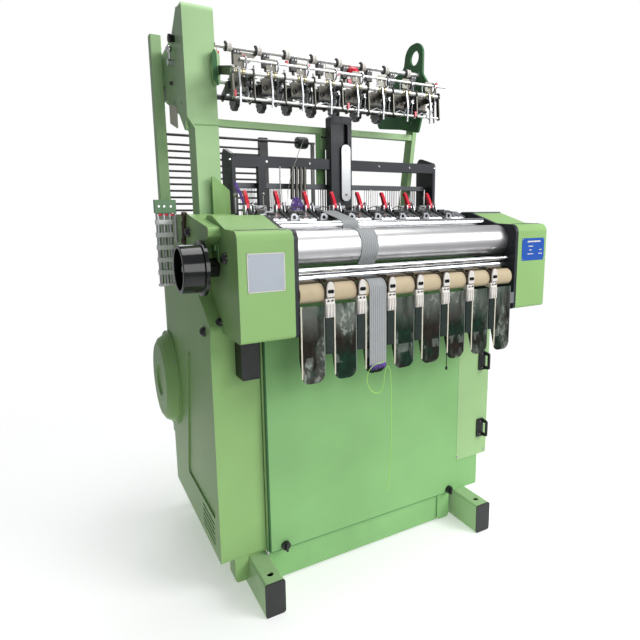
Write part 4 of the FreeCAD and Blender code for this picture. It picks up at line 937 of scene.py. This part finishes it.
# ---- take-up section ----
@dataclass
class Webbing:
    """Woven webbing led in and out between the rollers, with its frayed purple end."""

    middle: float = -159.0
    width: float = 57.0
    thick: float = 1.6
    gap: float = 0.6
    ribs: int = 9
    relief: float = 0.3
    circles: tuple[tuple[float, float, float, int], ...] = (
        (130, 1112, 16, 1), (106, 1088, 6, -1), (53, 1054, 51, 1), (20, 972.7, 20, -1), (-12.6, 936, 26, 1))
    start: Point = (266.0, 1155.0)
    end: Point = (-38.8, 715.0)
    threads: int = 64

    def line(self) -> list[tuple[Vector, Vector]]:
        """Points of the middle of the strip, as (y, z), each with the outward direction there."""
        lift = self.gap + self.thick / 2
        stops = [(*self.start, lift), *((y, z, way * (r + lift)) for y, z, r, way in self.circles),
                 (*self.end, lift)]
        result: list[tuple[Vector, Vector]] = []
        for (ya, za, ra), (yb, zb, rb) in zip(stops, stops[1:]):
            run = Vector((yb - ya, zb - za))
            along = run.normalized()
            tilt = (ra - rb) / run.length
            normal = along * tilt + Vector((along.y, -along.x)) * math.sqrt(1 - tilt ** 2)
            first, last = Vector((ya, za)) + normal * ra, Vector((yb, zb)) + normal * rb
            if result:
                before = result[-1][1]
                turn = before.angle_signed(normal)
                steps = max(2, int(abs(turn) * abs(ra) / 2.5))
                ways = [turned_by(before, turn * k / steps) for k in range(1, steps)]
                result += [(Vector((ya, za)) + way * ra, way) for way in ways]
            steps = max(1, int((last - first).length / 6))
            result += [(first.lerp(last, k / steps), normal) for k in range(steps + 1)]
        return result

    def strip(self) -> tuple[Object, float]:
        """Makes the strip.

        Returns:
            The strip and its length in millimetres.
        """
        form = Form("webbing_strip", "webbing")
        uv = form.mesh.loops.layers.uv.new("UVMap")
        spots: dict[Any, tuple[float, float]] = {}
        face, under = self.thick / 2, -self.thick / 2
        shares = [n / (self.ribs * 6) for n in range(self.ribs * 6 + 1)]
        section = [(u, face - self.relief * (1 - abs(math.sin(math.pi * self.ribs * u)))) for u in shares]
        section += [(1.0, under), (0.0, under)]
        rings = []
        run = 0.0
        before = None
        for point, way in self.line():
            run += (point - before).length if before else 0.0
            before = point
            rings.append([])
            for u, level in section:
                place = point + way * level
                rings[-1].append(form.vert((self.middle + (u - 0.5) * self.width, place.x, place.y)))
                spots[rings[-1][-1]] = (u, run * MM)
        form.skin(rings)
        for side in form.mesh.faces:
            for loop in side.loops:
                loop[uv].uv = spots[loop.vert]
        return form.piece(50.0), run

    def fringe(self) -> Object:
        """The purple ends of its weft threads."""
        form = Form("webbing_fringe", "violet")
        dice = random.Random(5)
        y, z = self.end[0] - 1.4, self.end[1]
        for k in range(self.threads):
            x = self.middle + (k / (self.threads - 1) - 0.5) * (self.width - 3)
            drop, lean, out = dice.uniform(5, 15), dice.uniform(-3.5, 3.5), dice.uniform(0, 2.5)
            form.tube([(x, y, z + 3), (x + lean * 0.3, y - out * 0.5, z - drop * 0.5),
                       (x + lean, y - out, z - drop)], 0.75, 5)
        return form.piece()

    def build(self) -> None:
        strip, length = self.strip()
        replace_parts(strip, "webbing")
        length * MM
        self.fringe()
        LOG.info("webbing: %.1f mm long", length)


@dataclass
class Clips:
    """White moulded guides between the chutes, with painted-shade discs in their holes, brown hook bands and
    dark strip.
    """

    width: float = 27.0
    front: float = -44.5
    back: float = -34.5
    roller: Point = (-12.6, 936.0)
    strip_bottom: float = 767.0
    foot: float = 870.0
    ear: float = 946.0
    square: float = 0.72

    def body(self, white: Form, bands: Form) -> None:
        """Adds one guide's white body and the eared head, with the brown band behind the ear."""
        f, half = self.front, self.width / 2
        side = [(f + 1, self.foot, 2), (f + 8, self.foot, 0), (f + 9.5, 905, 0), (-2, 912, 4), (4, 928, 0),
                (-3, 928, 0), (-3, 924, 0), (f + 3, 922, 0), (f - 1.5, 905, 8), (f - 2, 885, 8)]
        white.prism(side, X, -half, half, 0.8)
        tab = [(f, 884, 3), (f + 6, 884, 2), (f + 6, 912, 2), (f - 1, 912, 3)]
        white.prism(tab, X, -half - 1.2, -half + 0.4, 0.4)
        for form, wide, high, y0, y1, bevel in ((white, half - 1.5, 22, f - 3, f + 4, 1.4),
                                                (bands, half + 0.4, 27, f + 1, f + 5, 0.4)):
            arch = [(wide * math.copysign(abs(c) ** self.square, c), self.ear + high * s)
                    for c, s in circle(24)[:13]]
            neck = [(-wide, 930), (3 - wide, 926), (wide - 3, 926), (wide, 930)]
            form.prism(arch + neck, Y, y0, y1, bevel)
        for x in (-half + 1.5, -3, half - 7.5):
            rib = [(x, 872, 2), (x + 6, 872, 2), (x + 6, 908, 3), (x, 908, 3)]
            white.prism(rib, Y, f - 3.4, f, 1.0)

    def build(self) -> None:
        """Makes the seven guides."""
        white, holes = Form("guide_bodies", "white"), Form("guide_hole_shade", "gloss")
        bands, strips = Form("guide_bands", "umber"), Form("guide_strips", "bottle")
        f, half = self.front, self.width / 2
        hook = arc(self.roller, 30, 70, 14, 11) + arc(self.roller, 24, 210, -14, 11)
        for i in range(HEADS - 1):
            shift((head_x(i) - CHUTE_SHIFT + PITCH / 2, 0, 0), white, holes, bands, strips)
            self.body(white, bands)
            for x in (-4, 4):
                # black discs in place of the holes: painted shade of their hollows
                holes.turned([(-0.4, 5.6), (0.5, 5.6), (0.5, 0)], (x, f - 3.0, 942), FRONT, 20)
                holes.turned([(-0.4, 2.6), (0.6, 2.6), (0.6, 0)], (x * 1.5, f - 1.4, 917), FRONT, 16)
            for x in (-half - 0.2, half - 1.6):
                bands.prism(hook, X, x, x + 1.8)
            strips.block((-12, self.back - 4, self.strip_bottom), (12, self.back, 872), 0.5)
        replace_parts(white.piece(), "roller_clips")
        finished(holes, bands, strips)


@dataclass
class Chutes:
    """Pale edging of the eight mirror chutes, and the short knobbed pin by the sixth."""

    width: float = 70.0
    front: float = -36.0
    top: float = 906.0
    bottom: float = 690.0
    pin: Point = (99.6, -38.0, 662.0)

    def build(self) -> None:
        """Makes the edgings and the pin."""
        left, right = Form("chute_left_edges", "cream"), Form("chute_right_edges", "steel")
        f, half = self.front, self.width / 2
        for i in range(HEADS):
            shift((head_x(i) - CHUTE_SHIFT, 0, 0), left, right)
            left.block((-half - 0.6, f - 0.9, self.bottom + 16), (-half + 3.4, f + 0.4, self.top), 0.3)
            right.block((half - 1.6, f - 0.6, self.bottom + 20), (half + 0.4, f + 0.4, self.top), 0.2)
        pin = Form("chute_pin", "black")
        shift(self.pin, pin)
        pin.rod((0, 0, 50), (0, 0, 2), 1.5, 10)
        pin.turned([(-6, 0), (-5, 3.4), (0, 4.6), (5, 3.4), (6, 0)], (0, 0, 0), Z, 16)
        pin.block((-1, -1, 42), (3.4, 2.2, 50), 0.4)
        finished(left, right, pin)


# ---- drive boxes ----
@dataclass
class DriveBoxes:
    """Plates, latch, domed knobs, seams, hood and bearing rims of the two boxes at the roller's ends."""

    front: float = -32.0
    left: float = -561.0
    seam: float = 1108.2
    hood: Point = (399.0, 538.0)
    roller: Point = (53.0, 1054.0)
    grey_plate: Point = (-538.0, -438.0, 953.0, 1052.0)
    blue_plate: Point = (421.0, 528.0, 985.0, 1061.0)
    knobs: Points = (
        (-561, 67, 1034), (-561, 147, 848), (-595, 196, 818), (-595, 314, 1096))

    def plates(self) -> None:
        """The grey plate at the left with its white rim, and the blue one with rows of white bars."""
        f = self.front
        grey, rim = Form("grey_plate", "label"), Form("grey_plate_rim", "white")
        rivets = Form("plate_rivets", "steel")
        blue, bars = Form("blue_plate", "blue"), Form("blue_plate_bars", "white")
        for plate, (x0, x1, z0, z1), corner, radius in ((grey, self.grey_plate, 4, 2.0),
                                                        (blue, self.blue_plate, 3, 1.8)):
            plate.panel((x0, z0), (x1, z1), corner, f - 1.2, f + 0.4)
            inset = corner + 1
            spots = [(x, f - 1.1, z) for x in (x0 + inset, x1 - inset) for z in (z0 + inset, z1 - inset)]
            rivets.screws(spots, FRONT, radius, 0.9, False)
        x0, x1, z0, z1 = self.grey_plate
        for left, right, low, high in ((x0, x1, z0, z0 + 2), (x0, x1, z1 - 2, z1), (x0, x0 + 2, z0, z1),
                                       (x1 - 2, x1, z0, z1)):
            rim.block((left, f - 1.5, low), (right, f - 1.0, high), 0.1)
        x0, x1, _, z1 = self.blue_plate
        for left, right, drop, high in ((x0 + 24, x1 - 20, 14, 4.6), (x0 + 30, x0 + 52, 29, 3.0),
                                        (x0 + 34, x0 + 46, 42, 3.0), (x0 + 26, x0 + 54, 55, 3.0),
                                        (x1 - 24, x1 - 12, 42, 3.0), (x1 - 28, x1 - 10, 55, 3.0)):
            bars.block((left, f - 1.5, z1 - drop), (right, f - 1.1, z1 - drop + high), 0.1)
        finished(grey, rim, rivets, blue, bars)

    def build(self) -> None:
        """Makes the details of both boxes."""
        self.plates()
        knobs, latch = Form("box_knobs", "gloss"), Form("box_latch", "green")
        seams, hood = Form("box_seams", "black"), Form("right_hood", "grit")
        eyes = Form("bearing_details", "chrome")
        for spot in self.knobs:
            knobs.turned([(0.8, 15), (-4, 15), (-9, 12.5), (-13, 7.5), (-14.5, 0)], spot, X, 28)
        x = self.left
        latch.prism([(128, 1012, 8), (188, 1040, 8), (188, 1090, 10), (150, 1090, 8), (128, 1060, 10)],
                    X, x - 3.5, x + 0.5, 1.2)
        latch.prism([(141, 1048, 4), (171, 1056, 4), (171, 1074, 5), (141, 1066, 5)], X, x - 9, x - 3, 1)
        for x0, x1 in ((self.left, -413), (402, 538)):
            seams.block((x0 + 3, 2, self.seam), (x1 - 3, 3.4, self.seam + 1.2), 0.2)
        hood.prism([(186, 1144.5), (330, 1119.5), (330, 1123.5), (246, 1149.5, 3), (186, 1149.5, 3)], X,
                   *self.hood, 1.0)
        for x, way in ((-398.8, RIGHT), (389.8, LEFT)):
            eyes.ring((x + way.x * 0.2, *self.roller), X, 15, 30, 0.9, 36)
            eyes.screw_circle(x, self.roller, 40, 20, 6, way, 3.2, 0.9)
        finished(knobs, latch, seams, hood, eyes)


@dataclass
class Wheel:
    """Bolts of the black handwheel."""

    left: float = -666.0
    centre: Point = (150.0, 1004.0)

    def build(self) -> None:
        """Makes the bolts that turn with the wheel."""
        bolts = Form("wheel_bolts", "steel", "handwheel")
        bolts.screw_circle(self.left + 36, self.centre, 42, 45, 6, LEFT, 5.0, 3.2)
        bolts.screws([(self.left + 14, *self.centre)], LEFT, 8.0, 4.0)
        bolts.piece()


# ---- weaving section ----
@dataclass
class WeavingDeck:
    """Clamp brackets, springs, guide blocks, thread bundles and wires between the heads."""

    lever: Point = (282.0, 1168.0)
    lever_shift: float = 75.0
    deck: float = 1150.0
    knot: Point = (-231.0, 352.0, 1202.0)

    def bracket(self, steel: Form, black: Form, pale: Form, holes: Form) -> None:
        """Adds one head's bracket, dark arm and bored block beside its lever, the bore a black disc of
        painted shade.
        """
        cheek = [(-20, -17, 2), (8, -17, 2), (12, 4, 3), (4, 16, 4), (-8, 14, 4)]
        steel.prism(cheek, X, 14.5, 17.5, 0.5)
        steel.block((10.8, -12, 6), (17, 2, 10), 0.6)
        steel.screws([(17.5, -2, 0)], RIGHT, 5.0, 3.0)
        arm = [(-66, -37, 2), (-20, -20, 2), (-8, -8, 3), (-14, -2, 3), (-30, -14, 3), (-68, -30, 2)]
        black.prism(arm, X, -4, 5, 0.8)
        black.block((20, -30, -18), (44, 4, -9), 1.2)
        black.block((52, -40, -22), (74, -12, -16), 1.0)
        guide = [(2, -42, 5), (32, -42, 5), (32, -28, 6), (24, -20, 5), (8, -20, 6)]
        pale.prism(guide, Y, -86, -76, 1.4)
        # black disc in place of the bore: painted shade of its hollow
        holes.turned([(-0.4, 5.6), (0.5, 5.6), (0.5, 0)], (17, -86, -31), FRONT, 22)

    def build(self) -> None:
        """Makes the small parts of every head, then the yarn between them."""
        steel, black = Form("clamp_brackets", "steel"), Form("clamp_arms", "black")
        # the block holes are black discs of painted shade
        pale, holes = Form("guide_blocks", "alloy"), Form("block_hole_shade", "gloss")
        springs, wires = Form("clamp_springs", "chrome"), Form("brown_wires", "umber")
        forms = (steel, black, pale, holes, springs, wires)
        dice = random.Random(3)
        for i in range(HEADS):
            shift((head_x(i) - self.lever_shift, *self.lever), *forms)
            self.bracket(steel, black, pale, holes)
            springs.spring((8, 22, -16), (24, 44, 2), 3.4, 0.8, 7)
            springs.turned([(0, 2), (0, 4.6), (3, 6.2), (6, 4.6), (7, 0)], (30, 34, -4), Z, 16)
            springs.rod((36, 30, -16), (42, 38, 18), 1.4, 8)
            if i < HEADS - 1:
                sag = dice.uniform(6, 12)
                wires.tube([(18, 20, -2), (36, 24, -2 - sag), (52, 26, -4), (68, 24, 3), (88, 18, -2)],
                           1.6, 6)
        finished(*forms)
        self.yarn()
        self.wires()

    def yarn(self) -> None:
        """The two bundles of violet thread behind the first and third levers."""
        bundle = Form("violet_bundles", "violet")
        dice = random.Random(11)
        for _ in range(26):
            a, b, c = (dice.uniform(-1, 1) for _ in range(3))
            bundle.tube([(-436 + 5 * a, 356 + 4 * b, 1244 + 3 * c), (-430 + 6 * b, 350 + 4 * a, 1222),
                         (-420 + 5 * c, 346 + 3 * b, 1200), (-414 + 4 * a, 344 + 3 * c, 1178),
                         (-412 + 3 * b, 342, 1158)], 1.0, 5)
        shift(self.knot, bundle)
        for k in range(34):
            u = k / 33
            spread, lift = dice.uniform(-3, 3), dice.uniform(-4, 4)
            x = -25 + 50 * u
            bundle.tube([(x, spread - 10, -44), (x + 2 - 4 * u, -6, lift - 24),
                         (x * 0.5, spread - 2, lift * 0.6 - 6), (spread, 0, 0)], 0.9, 5)
        bundle.piece()

    def wires(self) -> None:
        """The bright rods and slanted wire in front of the heddle frames, and the grey tubes under them."""
        bright, tubes = Form("bright_rods", "wire"), Form("grey_tubes", "olive")
        z = self.deck
        for low, high, radius in (((-289, 352, z), (-287, 352, 1299), 2.2),
                                  ((-440, 350, z), (-440, 350, 1200), 2.4),
                                  ((-348, 350, z), (-348, 350, 1206), 2.0)):
            bright.rod(low, high, radius, 10)
        for x in (60, 190, 300):
            bright.rod((x, 352, z), (x + 1, 352, 1232), 1.8, 8)
        for profile, spot, sides in (([(0, 4), (6, 4), (8, 2)], (-289, 352, 1214), 14),
                                     ([(0, 4), (9, 4), (11, 1)], (-262, 350, 1164), 14),
                                     ([(-7, 0), (-6, 4), (0, 7), (6, 4), (7, 0)], (-440, 350, 1206), 18),
                                     ([(-5, 0), (-4, 4), (0, 5.4), (4, 4), (5, 0)], (-348, 350, 1211), 18)):
            bright.turned(profile, spot, Z, sides)
        bright.tube([(-262, 350, 1166), (-262, 350, 1222), (-240, 372, 1270), (-188.4, 420, 1357),
                     (-160, 436, 1400)], 1.1, 6)
        for x in (-212, -196, -180, -165):
            tubes.rod((x, 430, 1196), (x + 2, 430, 1306), 6.4)
        finished(bright, tubes)


@dataclass
class Gantry:
    """Light bar, bracket plate, screws and dark reel of the gantry over the heddle frames."""

    front: float = 436.0
    top: float = 1339.0
    reel: Point = (-22.0, 760.0, 1434.0)

    def build(self) -> None:
        """Makes the fittings."""
        bar, plate = Form("centre_light_bar", "steel"), Form("bracket_plate", "green")
        screws, blacks = Form("gantry_screws", "chrome"), Form("bracket_screws", "gloss")
        reel = Form("dark_reel", "black")
        f = self.front
        bar.panel((-21, 1191), (16, 1391), 17.5, f - 17.2, f - 15.8, steps=8)
        plate.panel((-80, 1236), (-42, 1438), 3, 505.5, 510.5, 0.5)
        screws.screws([(x, f, self.top - 16) for x in (-426, -8, 414)], FRONT, 4.4, 2.6, False)
        screws.screws([(x, f, self.top - 18) for x in (-300, -140, 150, 290)], FRONT, 4.0, 2.4)
        screws.screws([(-2.5, f - 17, z) for z in (1215, 1372)], FRONT, 5.0, 2.6)
        blacks.screws([(x, 505, 1424) for x in (-56, -45)], FRONT, 3.8, 3.0)
        reel.turned([(-24, 5.2), (-24, 20), (-20, 23), (-14, 24), (14, 24), (20, 23), (24, 20), (24, 5.2)],
                    self.reel, X, 28)
        finished(bar, plate, screws, blacks, reel)


# ---- upper structure ----
@dataclass
class Feeder:
    """Ring rod with its white rings, hangers, clamps and the small red parts of the yarn feeder."""

    left: float = -453.0
    right: float = 344.0
    ring_rod: Point = (458.5, 1675.0)
    tie: Point = (540.0, 1585.0)
    feed: Point = (300.0, 1563.0)
    shaft: Point = (622.0, 1552.0)
    discs: Point = (455.0, 1562.0)
    cap: Point = (43.0, 446.0, 1645.0)
    tags: Points = (
        (-447, 450, 1648), (-363, 450, 1647), (-212, 450, 1648), (-131, 450, 1645), (-63, 450, 1644),
        (-15, 450, 1640))
    low_tags: Points = (
        (-446, 294, 1497), (-66, 294, 1495), (207, 294, 1492), (304, 300, 1600))

    def rods(self) -> None:
        """Ring rod and tie rod, with the rings and the hangers on them."""
        # the rods take the whitened silver, whose pale colour is a painted sheen
        rods, rings = Form("feeder_top_rods", "silver"), Form("white_rings", "white")
        collars, hangers = Form("ring_collars", "black"), Form("hangers", "black")
        for spot, beyond in ((self.ring_rod, 28), (self.tie, 8)):
            rods.rod((self.left, *spot), (self.right + beyond, *spot), 8.0, 24, 1.0)
        for i in range(HEADS):
            shift((head_x(i), *self.ring_rod), rods, rings, collars, hangers)
            for x, outer, width in ((-61, 14.6, 8), (-52, 14.6, 8), (-57, 12.6, 12)):
                rings.ring((x, 0, 0), X, 8.1, outer, width)
            collars.ring((-68, 0, 0), X, 8.1, 15.6, 5)
            hangers.block((-46, -11, -50), (-24, 11, -8.2), 1.2)
            rods.screws([(x, -11, -15) for x in (-40, -30)], FRONT, 2.8, 2.0, False)
        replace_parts(rods.piece(), "ring_rod")
        finished(rings, collars, hangers)

    def head(self, gold: Form, bright: Form, dark: Form) -> None:
        """Adds one head's split clamps, bright edges, eyelets, springs and dark blocks."""
        for x, width in ((-84, 16), (-67, 8)):
            gold.ring((x, 0, 0), X, 7.1, 10.0, width, 24)
        bright.prism(arc((4, 27), 20, 260, -20, 9) + arc((4, 27), 14, 100, 20, 9), X, -60, -57.5, 0.3)
        for form, spot, inner, outer, width, sides in (
                (bright, (-48, 24, 14), 3, 8, 3, 20), (bright, (-24, 30, -20), 3, 7, 3, 20),
                (bright, (-22, 55, 6), 5, 12, 2, 24), (dark, (-22, 60, 6), 8, 15, 7, 24),
                (dark, (-70, 66, -22), 5.4, 9, 2, 20)):
            form.ring(spot, Y, inner, outer, width, sides)
        bright.spring((-46, 26, -62), (-46, 26, 4), 3.6, 0.8, 11)
        for form, low, high, radius, sides in (
                (bright, (-56, 30, -6), (-12, 30, -6), 2.6, 10),
                (bright, (-22, 40, -70), (-22, 30, 30), 2.2, 10),
                (dark, (-90, 60, -44), (-40, 60, -44), 5, 12)):
            form.rod(low, high, radius, sides)
        bright.tube([(-52, 70, 20), (-50, 74, 52), (-42, 80, 62), (-34, 84, 48)], 1.6, 6)
        bright.tube([(-86, 50, -60), (-70, 44, -52), (-54, 40, -58), (-42, 40, -74)], 1.8, 6)
        for low, high, bevel in (((-54, 20, -34), (-40, 36, -26), 0.8),
                                 ((-32, 100, -44), (-16, 118, -8), 1.0),
                                 ((-84, 92, -40), (-60, 128, -6), 2.0)):
            dark.block(low, high, bevel)
        bright.turned([(0, 0), (0.5, 8), (3, 11), (4, 11), (4.5, 0)], (-62, 84, -14), FRONT, 20)
        bright.turned([(0, 0), (0.5, 6), (2, 8), (3, 8), (3.5, 0)], (-76, 84, 4), FRONT, 18)

    def plates(self) -> None:
        """The small parts of every head, the bolts of the shaft and the rims of the discs."""
        gold, bright = Form("split_clamps", "gold"), Form("bright_edges", "steel")
        dark, specks = Form("tension_parts", "black"), Form("wheel_specks", "chrome", "feeder_shaft")
        rims = Form("disc_rims", "chrome", "feed_discs")
        for i in range(HEADS):
            x = head_x(i)
            shift((x, *self.feed), gold, bright, dark)
            self.head(gold, bright, dark)
            specks.screw_circle(x - 99.4, self.shaft, 35, 15, 12, LEFT, 3.0, 1.6, False)
            rims.ring((x + (7.5 if i < HEADS - 1 else -20.5), *self.discs), X, 46, 50.5, 4, 40)
        finished(gold, bright, dark, specks, rims)

    def reds(self) -> None:
        """The red tags on the hangers and arms, and the large red cap."""
        red, stems = Form("red_tags", "red"), Form("red_tag_stems", "white")
        for tag in self.tags:
            shift(tag, red, stems)
            red.block((-5, -4, -9), (5, 3, 7), 1.8)
            stems.rod((0, 2, 4), (0, 8, 1670 - tag[2]), 1.6, 8)
        for tag in self.low_tags:
            shift(tag, red, stems)
            red.block((-3.5, -9, -8), (3.5, -3, 10), 1.4)
            stems.rod((0, -6, -8), (0, -1, -14), 2.0, 8)
        shift(self.cap, red, stems)
        red.turned([(-6, 23), (4, 23), (14, 19), (20, 11), (22, 0)], (0, 0, 0), Z, 28)
        red.block((-23, -6, -37), (-5, 6, -23), 1.4)
        stems.turned([(0, 12), (26, 12)], (0, 0, -31), Z, 18)
        stems.rod((0, 0, -9), (0, 12, 27), 4.0, 10)
        stems.block((-25, -4, -23), (-5, 4, -15), 0.8)
        finished(red, stems)

    def forks(self) -> None:
        """The long forked end of the last lever, and the triangular plate at the left."""
        fork, plate = Form("forked_end", "dull"), Form("olive_web", "olive")
        shift((0, *self.feed), fork)
        fork.prism([(-8, -6, 3), (4, -6, 3), (2, -50, 3), (-3, -94, 2), (-7, -94, 2), (-6, -50, 3)], X,
                   294, 298, 0.5)
        fork.rod((272, 4, -36), (294, -4, -62), 2.2, 8)
        fork.rod((304, 0, 36), (304, 0, 4), 3, 10)
        web = [(-370, 1665, 3), (-309, 1665, 3), (-340, 1634, 6), (-362, 1634, 6)]
        plate.prism(web, Y, 462, 465, 0.5)
        finished(fork, plate)

    def build(self) -> None:
        """Makes all of it."""
        self.rods()
        self.plates()
        self.reds()
        self.forks()


@dataclass
class Tower:
    """Fold line, slot cover, plates and knobs of the left tower, and the screws of the posts."""

    face: float = 450.0
    left: float = -550.0
    right: float = -453.0
    post: float = 344.0
    left_screws: Points = (
        (515, 1500), (515, 1690), (600, 1700), (790, 1600), (840, 1660), (620, 1520))
    post_screws: Points = (
        (500, 1500), (640, 1560), (700, 1600), (470, 1660), (560, 1640))

    def build(self) -> None:
        """Makes the fittings."""
        x0, x1, f = self.left, self.right, self.face
        seam, wedge = Form("tower_seam", "green"), Form("tower_wedge", "dark_green")
        plates, knobs = Form("tower_side_plates", "cream"), Form("tower_knobs", "gloss")
        screws = Form("tower_screws", "steel")
        seam.prism([(x0 + 22, 1425), (x1, 1428), (x1, 1431), (x0 + 22, 1428)], Y, f - 1.0, f + 0.4, 0.3)
        wedge.prism([(x1 - 17, 1562), (x1 - 3, 1545), (x1 - 1, 1552), (x1 - 4, 1640, 4), (x1 - 10, 1655, 3),
                     (x1 - 19, 1640, 10)], Y, f - 26, f - 23.6, 0.5)
        cover = [(588, 1430, 6), (700, 1462, 6), (700, 1530, 6), (588, 1500, 6)]
        plates.prism(cover, X, x0 - 3, x0 + 0.4, 0.8)
        knobs.turned([(0.6, 11), (-6, 11), (-14, 14), (-20, 12), (-22, 0)], (x0, 574, 1708), X, 24)
        knobs.turned([(0.6, 7), (-5, 7), (-9, 5), (-10, 0)], (x0, 640, 1585), X, 20)
        screws.screws([(x0, *spot) for spot in self.left_screws], LEFT, 4.2, 2.6)
        screws.screws([(-474, f - 14, z) for z in (1175, 1215)], FRONT, 3.6, 2.4, False)
        screws.screws([(self.post, *spot) for spot in self.post_screws], LEFT, 4.2, 2.6)
        finished(seam, wedge, plates, knobs, screws)


@dataclass
class SideRack:
    """Strap ends, red tube caps, hanging fitting and screws of the left rack."""

    ends: Point = (-652.0, -612.0)
    first: float = 956.0
    step: float = 40.0
    hook: Point = (-600.0, 346.0, 1154.0)
    hang: Point = (0.0, 25.0, -93.0)
    sleeves: Points = (
        (0.0, 0.12, 8.4), (0.12, 0.3, 6.0), (0.3, 0.42, 8.2), (0.42, 0.86, 6.6), (0.86, 1.0, 8.6))

    def build(self) -> None:
        """Makes the ends of the straps, the caps, the fitting and the rack's screws."""
        ends, caps = Form("strap_ends", "strap"), Form("tube_caps", "red")
        fitting, screws = Form("hanging_fitting", "umber"), Form("rack_screws", "chrome")
        for k in range(5):
            z = self.first + self.step * k
            ends.block((self.ends[0], 477.6, z + 1), (self.ends[1] - 4 * k, 480.4, z + 14), 0.3)
        for x in (-646, -627.5, -609):
            caps.ring((x, 490, 1147), Z, 7.05, 8.2, 7, 24)
        shift(self.hook, fitting)
        for low, high, radius in self.sleeves:
            fitting.rod(Vector(self.hang) * low, Vector(self.hang) * high, radius, 20)
        fitting.block((0, -2, -14), (10.5, 8, -4), 0.4)
        screws.screws([(x, 478, 1173) for x in (-648, -632, -612)], FRONT, 3.6, 2.4)
        finished(ends, caps, fitting, screws)


# ---- covers ----
@dataclass
class Covers:
    """Screws of the covers, the column, the back and the belt guard, with a dark seam line and a painted
    shadow strip.
    """

    side: float = -590.0
    back: float = 757.0
    guard: Point = (750.0, 530.0)
    cover_screws: Points = (
        (-434, 118, 800), (280, 118, 900), (296, 119, 800), (426, 119, 800), (426, 119, 246),
        (296, 119, 246))
    side_screws: Points = ((182, 250), (182, 690), (432, 690), (520, 250), (330, 250))

    def build(self) -> None:
        """Makes the small fasteners, the gasket, the seam line and the painted shadow strip."""
        screws, gasket = Form("cover_screws", "steel"), Form("column_gasket", "dark_green")
        seams = Form("cover_seam_and_shadow_strip", "dark_green")
        screws.screws(self.cover_screws, FRONT, 4.0, 2.2, False)
        screws.screws([(401, 113, z + dz) for z in (340, 603) for dz in (-25.2, 25.2)], FRONT, 2.6, 1.6)
        screws.screws([(self.side, *spot) for spot in self.side_screws], LEFT, 4.4, 2.6, False)
        rear = [(x, self.back, z) for x in (-400, -200, 0, 200) for z in (140, 420, 1080)]
        screws.screws(rear, BACK, 4.4, 2.6, False)
        screws.screw_circle(-602.5, self.guard, 172, 10, 8, LEFT, 4.2, 2.6)
        gasket.block((-448.8, 119.5, 114), (-445.3, 175, 835), 0.2)
        # dark strip in the gap under the front cover's lower edge: painted shadow of the step to the kick
        # panel
        seams.block((-444.0, 117.6, 114.4), (289.0, 118.6, 116.4), 0.2)
        # dark joint line between the front cover and the cabinet
        seams.block((290.2, 118.4, 236), (291.4, 120, 820), 0.2)
        finished(screws, gasket, seams)


# ---- finishes of the carried-over nodes ----
@dataclass
class Paintwork:
    """Gives every solid of the frame its finish."""

    crease: float = 30.0
    by_slot: dict[str, str] = field(default_factory=lambda: {
        "green_paint": "green", "dark_green_paint": "dark_green", "slate_paint": "slate",
        "black_plastic": "black", "white_plastic": "white", "red_plastic": "red", "kraft_wrap": "kraft",
        "mirror_steel": "mirror", "chrome_steel": "chrome", "knurled_steel": "roller",
        "machined_steel": "steel", "aluminium_frame": "bronze", "grey_webbing": "webbing",
        "grey_strap": "strap", "lime_thread": "lime"})
    by_node: dict[str, str] = field(default_factory=lambda: {
        "right_cabinet": "cabinet", "breast_bed": "pale_green", "handwheel": "gloss", "switch_box": "ink",
        # feeder_rods take the whitened silver: painted sheen
        "feeder_plates": "olive", "feeder_rods": "silver", "drop_levers": "steel", "strap_rack": "rack",
        # feed_discs take dull steel in place of their chrome: painted dark reflection
        **dict.fromkeys(("feed_discs", "feeder_shaft", "guide_grid"), "dull"),
        **dict.fromkeys(("head_box_left", "head_box_right", "belt_guard", "left_column"), "box"),
        # the tower, posts and foot beams take the lighter tower enamel: painted light
        **dict.fromkeys(("left_tower", "rear_post", "right_post"), "tower"),
        **dict.fromkeys(("foot_beam_left", "foot_beam_right"), "tower")})

    def build(self) -> None:
        """Dresses the nodes, by the record's slots except where a node has its own finish."""
        slots = {part["node"]: part["material_slot"] for part in FRAME["record"]["subparts"]}
        for name, node in FRAME["nodes"].items():
            node.data.materials.clear()
            node.data.materials.append(Palette.material(self.by_node.get(name, self.by_slot[slots[name]])))
            soften(node, self.crease)
        LOG.info("dressed %d solids", len(slots))


def main() -> None:
    """Builds the studio and every sub-assembly, in order."""
    logging.basicConfig(level=logging.INFO, format="%(name)s %(message)s")
    for sort in (Studio, LooseThread, Webbing, Clips, Chutes, DriveBoxes, Wheel, WeavingDeck, Gantry, Feeder,
                 Tower, SideRack, Covers, Paintwork):
        sort().build()
        LOG.info("%s built", sort.__name__)


if __name__ == "__main__":
    main()
